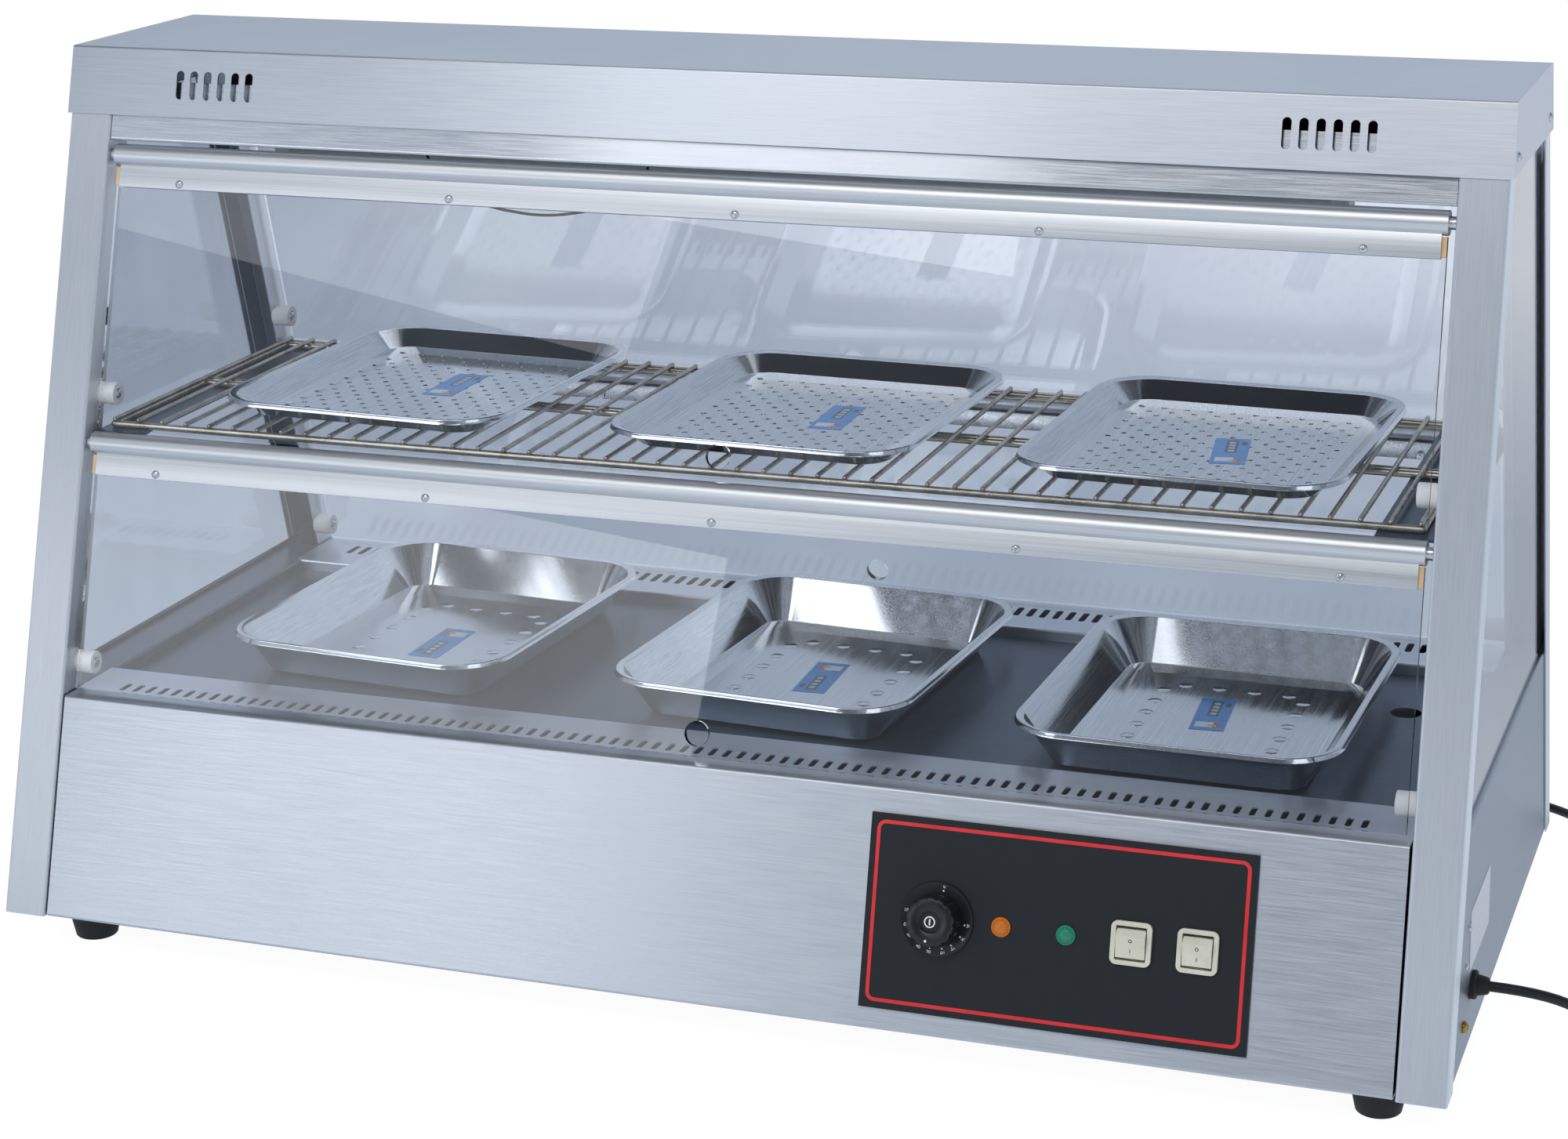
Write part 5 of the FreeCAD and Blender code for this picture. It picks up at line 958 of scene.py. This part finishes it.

# Switches: snap-in frames moulded in ivory plastic with round corners, and in each a rocker
# with a flat face and a bevel, marked with a ring and a stroke. A thin dark ring round it is
# painted shade for the gap between rocker and frame.
ivory = moulded("ivory_plastic_moulded", ("#CCCAB8", "#DAD8C8"), 0.35, grit=0.8, relief=0.02)
dark_print_and_gap_shade = moulded("dark_ink_and_painted_gap_shade", ("#2A2A2C", "#353538"), 0.5)
dress(ivory, "switch_frames", "rocker_power", "rocker_light")
# A flat dark ring, painted shade where the gap lies; the same dark finish prints the rockers' marks.
gap_shade = frame_line(width=23.6, height=25.4, radius=0.9, line=0.7, thickness=0.1)
gap_shades = [(gap_shade, on_front @ at(x, PLATE_FRONT - 3, CONTROL_LINE)) for x in (POWER_X, LIGHT_X)]
piece("switch_gaps", joined(gap_shades), "cabinet", dark_print_and_gap_shade)
# The rocker's face leans from its proud top to its flush foot; the marks lie on that lean.
face_lean = math.atan2(3.0, 16.5)
ring = lathe([(0.85, 0), (1.4, 0), (1.4, 0.12), (0.85, 0.12), (0.85, 0)], 20)
stroke = bmesh.new()
bmesh.ops.create_cube(stroke, size=1, matrix=Matrix.Diagonal((0.55 * MM, 3.0 * MM, 0.2 * MM, 1)))
for name, x in (("rocker_power", POWER_X), ("rocker_light", LIGHT_X)):
    face = on_front @ at(x, PLATE_FRONT - 4.75, CONTROL_LINE - 1.2)
    face = face @ Matrix.Rotation(math.pi / 2 + face_lean, 4, "X")
    marked = [(ring, face @ at(0, 3.4, 0)), (stroke, face @ at(0, -4.4, 0))]
    piece(name + "_marks", joined(marked), name, dark_print_and_gap_shade)

# Right side: the rating plate of bare aluminium, riveted flat. The black nylon gland with its
# nut inside, the brass earth screw and two small screws stand below it.
dress(satin_aluminium, "rating_plate")
SIDE_SKIN, GLAND_Y, GLAND_Z = 598.5, -170.6, 75
gland = lathe([(0, -14), (7.8, -14), (7.8, 0), (11, 0), (11, 3.2), (10.2, 4), (8, 4.2), (7.8, 6), (7.2, 9),
               (6.4, 12), (5.6, 13), (0, 13)])
back_nut = lathe([(0, -6.2), (11, -6.2), (11, -1.3), (0, -1.3)], 6)
gland_place = at(SIDE_SKIN, GLAND_Y, GLAND_Z, (1, 0, 0))
piece("gland_with_relief", joined([(gland, gland_place), (back_nut, gland_place)]), "cabinet",
      black_rubber, ["cable_gland"])
brass = fitting_metal("brass_screw_machined", ("#A98842", "#C9A75C"), 0.25)
piece("earth_screw", screws(1, (SIDE_SKIN + 1.0, -210.5, 58), NO_STEP, (1, 0, 0), 4.5), "cabinet", brass)
side_screws = [(screws(1, (SIDE_SKIN + 0.3, y, z), NO_STEP, (1, 0, 0), 2.6), whole)
               for y, z in ((-194, 129.8), (-204, 102.9))]
piece("side_screws", joined(side_screws), "cabinet", screw_steel)
bpy.data.objects.remove(screw_pattern)

# Inside the base: the tubular heating elements, whose steel sheaths are dark with oxide, the
# thermostat's moulded body and the terminals in white plastic.
element = moulded("element_sheath_oxidised", ("#3A3733", "#4B4742"), 0.55)
element.node_tree.nodes["Principled BSDF"].inputs["Metallic"].default_value = 1.0
dress(element, "heating_elements")
dress(black_rubber, "thermostat")
dress(white_plastic, "terminal_block")

# The plug's pins.
brass_pins = [(plug_pin, plug_place @ at(0, offset, 0)) for offset in (-7, 7)]
pins = piece("mains_plug_pins", joined(brass_pins), "cabinet", brass)

# Studio: a plain floor that a camera sees white and that keeps a soft shadow. Metal and glass
# see it as the pale blue-grey floor of a room: a little lighter to the right, and behind the
# cabinet dim near it and bright further off.
floor_mesh = bpy.data.meshes.new("floor")
ground = bmesh.new()
bmesh.ops.create_circle(ground, cap_ends=True, segments=64, radius=60)
ground.to_mesh(floor_mesh)
floor = bpy.data.objects.new("floor", floor_mesh)
bpy.context.collection.objects.link(floor)
WHITE = (1, 1, 1, 1)
white_floor, tree, shader = finish_of("white_floor", {"Base Color": WHITE, "Roughness": 0.9,
                                                      "Specular IOR Level": 0.0})
path = add(tree, "ShaderNodeLightPath")
seen = add(tree, "ShaderNodeMath", {0: path.outputs["Is Camera Ray"], 1: path.outputs["Is Glossy Ray"]},
           operation="MAXIMUM")
seen = add(tree, "ShaderNodeMath", {0: seen.outputs[0], 1: path.outputs["Is Transmission Ray"]},
           operation="MAXIMUM")
share = add(tree, "ShaderNodeMath", {0: seen.outputs[0], 1: 0.85}, operation="MULTIPLY")
place = add(tree, "ShaderNodeSeparateXYZ", {0: add(tree, "ShaderNodeTexCoord").outputs["Object"]})
spans = [add(tree, "ShaderNodeMapRange", {"Value": place.outputs[side], "From Min": start, "From Max": end})
         for side, start, end in ((0, -2.0, 1.5), (0, -2.2, 0.0), (1, 0.3, 0.9), (1, 1.3, 2.8))]
front_right, rear_right, behind, far_off = [span.outputs[0] for span in spans]
front_floor = ramp(tree, front_right, ("#A3B0BF", "#D3DAE3"), 0.25, 1.0)
rear_floor = ramp(tree, rear_right, ("#8792A1", "#AEB8C6"), 0.0, 1.0)
far_floor = ramp(tree, rear_right, ("#8E99A7", "#E6EAF2"), 0.0, 1.0)
room_floor = add(tree, "ShaderNodeMixRGB", {0: behind, 1: front_floor, 2: rear_floor}).outputs[0]
room_floor = add(tree, "ShaderNodeMixRGB", {0: far_off, 1: room_floor, 2: far_floor}).outputs[0]
floor_tone = add(tree, "ShaderNodeMixRGB", {0: path.outputs["Is Camera Ray"], 1: room_floor, 2: WHITE})
lit = add(tree, "ShaderNodeEmission", {"Color": floor_tone.outputs[0], "Strength": 1.12})
shown = add(tree, "ShaderNodeMixShader", {0: share.outputs[0], 1: shader.outputs[0], 2: lit.outputs[0]})
tree.links.new(shown.outputs[0], tree.nodes["Material Output"].inputs["Surface"])
floor_mesh.materials.append(white_floor)

# Lamps: each with its place, width, height and glow, and whether metal and glass mirror it.
LAMPS = (("window", (-1.62, -2.9, 0.62), 1.15, 0.85, 1.6, True),
         ("strip", (-1.1, -3.15, 1.85), 0.85, 0.4, 1.7, True),
         ("overhead", (-0.2, -2.3, 2.7), 2.6, 1.4, 2.2, True),
         ("key", (-1.9, -2.3, 2.2), 2.0, 1.8, 2.6, False),
         ("fill", (2.6, -2.4, 1.2), 1.6, 1.6, 1.2, False),
         ("top", (0, 0.5, 2.6), 2.4, 1.8, 1.2, False))
CABINET_MIDDLE = Vector((0, 0, 0.35))
for name, place, width, height, glow, mirrored in LAMPS:
    lamp = bpy.data.objects.new(name, bpy.data.lights.new(name, "AREA"))
    bpy.context.collection.objects.link(lamp)
    lamp.data.shape = "RECTANGLE"
    lamp.data.size, lamp.data.size_y = width, height
    lamp.data.energy = glow * math.pi * width * height
    lamp.location = place
    lamp.rotation_euler = (CABINET_MIDDLE - Vector(place)).to_track_quat("-Z", "Y").to_euler()
    lamp.visible_glossy = mirrored


def lobe(tree, direction, towards, width, strength):
    """A round soft light in the room: full strength towards one direction, fading around it."""
    near = add(tree, "ShaderNodeVectorMath", {0: direction, 1: Vector(towards).normalized()},
               operation="DOT_PRODUCT").outputs["Value"]
    edge = math.cos(math.radians(width))
    return add(tree, "ShaderNodeMapRange", {"Value": near, "From Min": edge, "From Max": 1.0, "To Min": 0.0,
                                            "To Max": strength},
               interpolation_type="SMOOTHERSTEP").outputs[0]


world = bpy.data.worlds.new("room")
bpy.context.scene.world = world
world.use_nodes = True
tree = world.node_tree
direction = add(tree, "ShaderNodeTexCoord").outputs["Generated"]
glow = 0.2
LOBES = (((-0.8, -0.6, 0.1), 50, 0.5), ((-0.1, 1.0, 0.4), 70, 0.65), ((0.8, -0.6, 0), 50, 0.6),
         ((0.9, 0.4, 0), 50, 0.45))
for towards, width, strength in LOBES:
    glow = add(tree, "ShaderNodeMath", {0: glow, 1: lobe(tree, direction, towards, width, strength)},
               operation="ADD").outputs[0]
cool = add(tree, "ShaderNodeVectorMath", {0: linear("#D9E4F2")[:3], "Scale": glow}, operation="SCALE")
camera_ray = add(tree, "ShaderNodeLightPath").outputs["Is Camera Ray"]
backdrop = add(tree, "ShaderNodeMixRGB", {0: camera_ray, 1: cool.outputs[0], 2: WHITE})
tree.links.new(backdrop.outputs[0], tree.nodes["Background"].inputs["Color"])
tree.nodes["Background"].inputs["Strength"].default_value = 1.0

bpy.context.scene.view_settings.view_transform = "Standard"
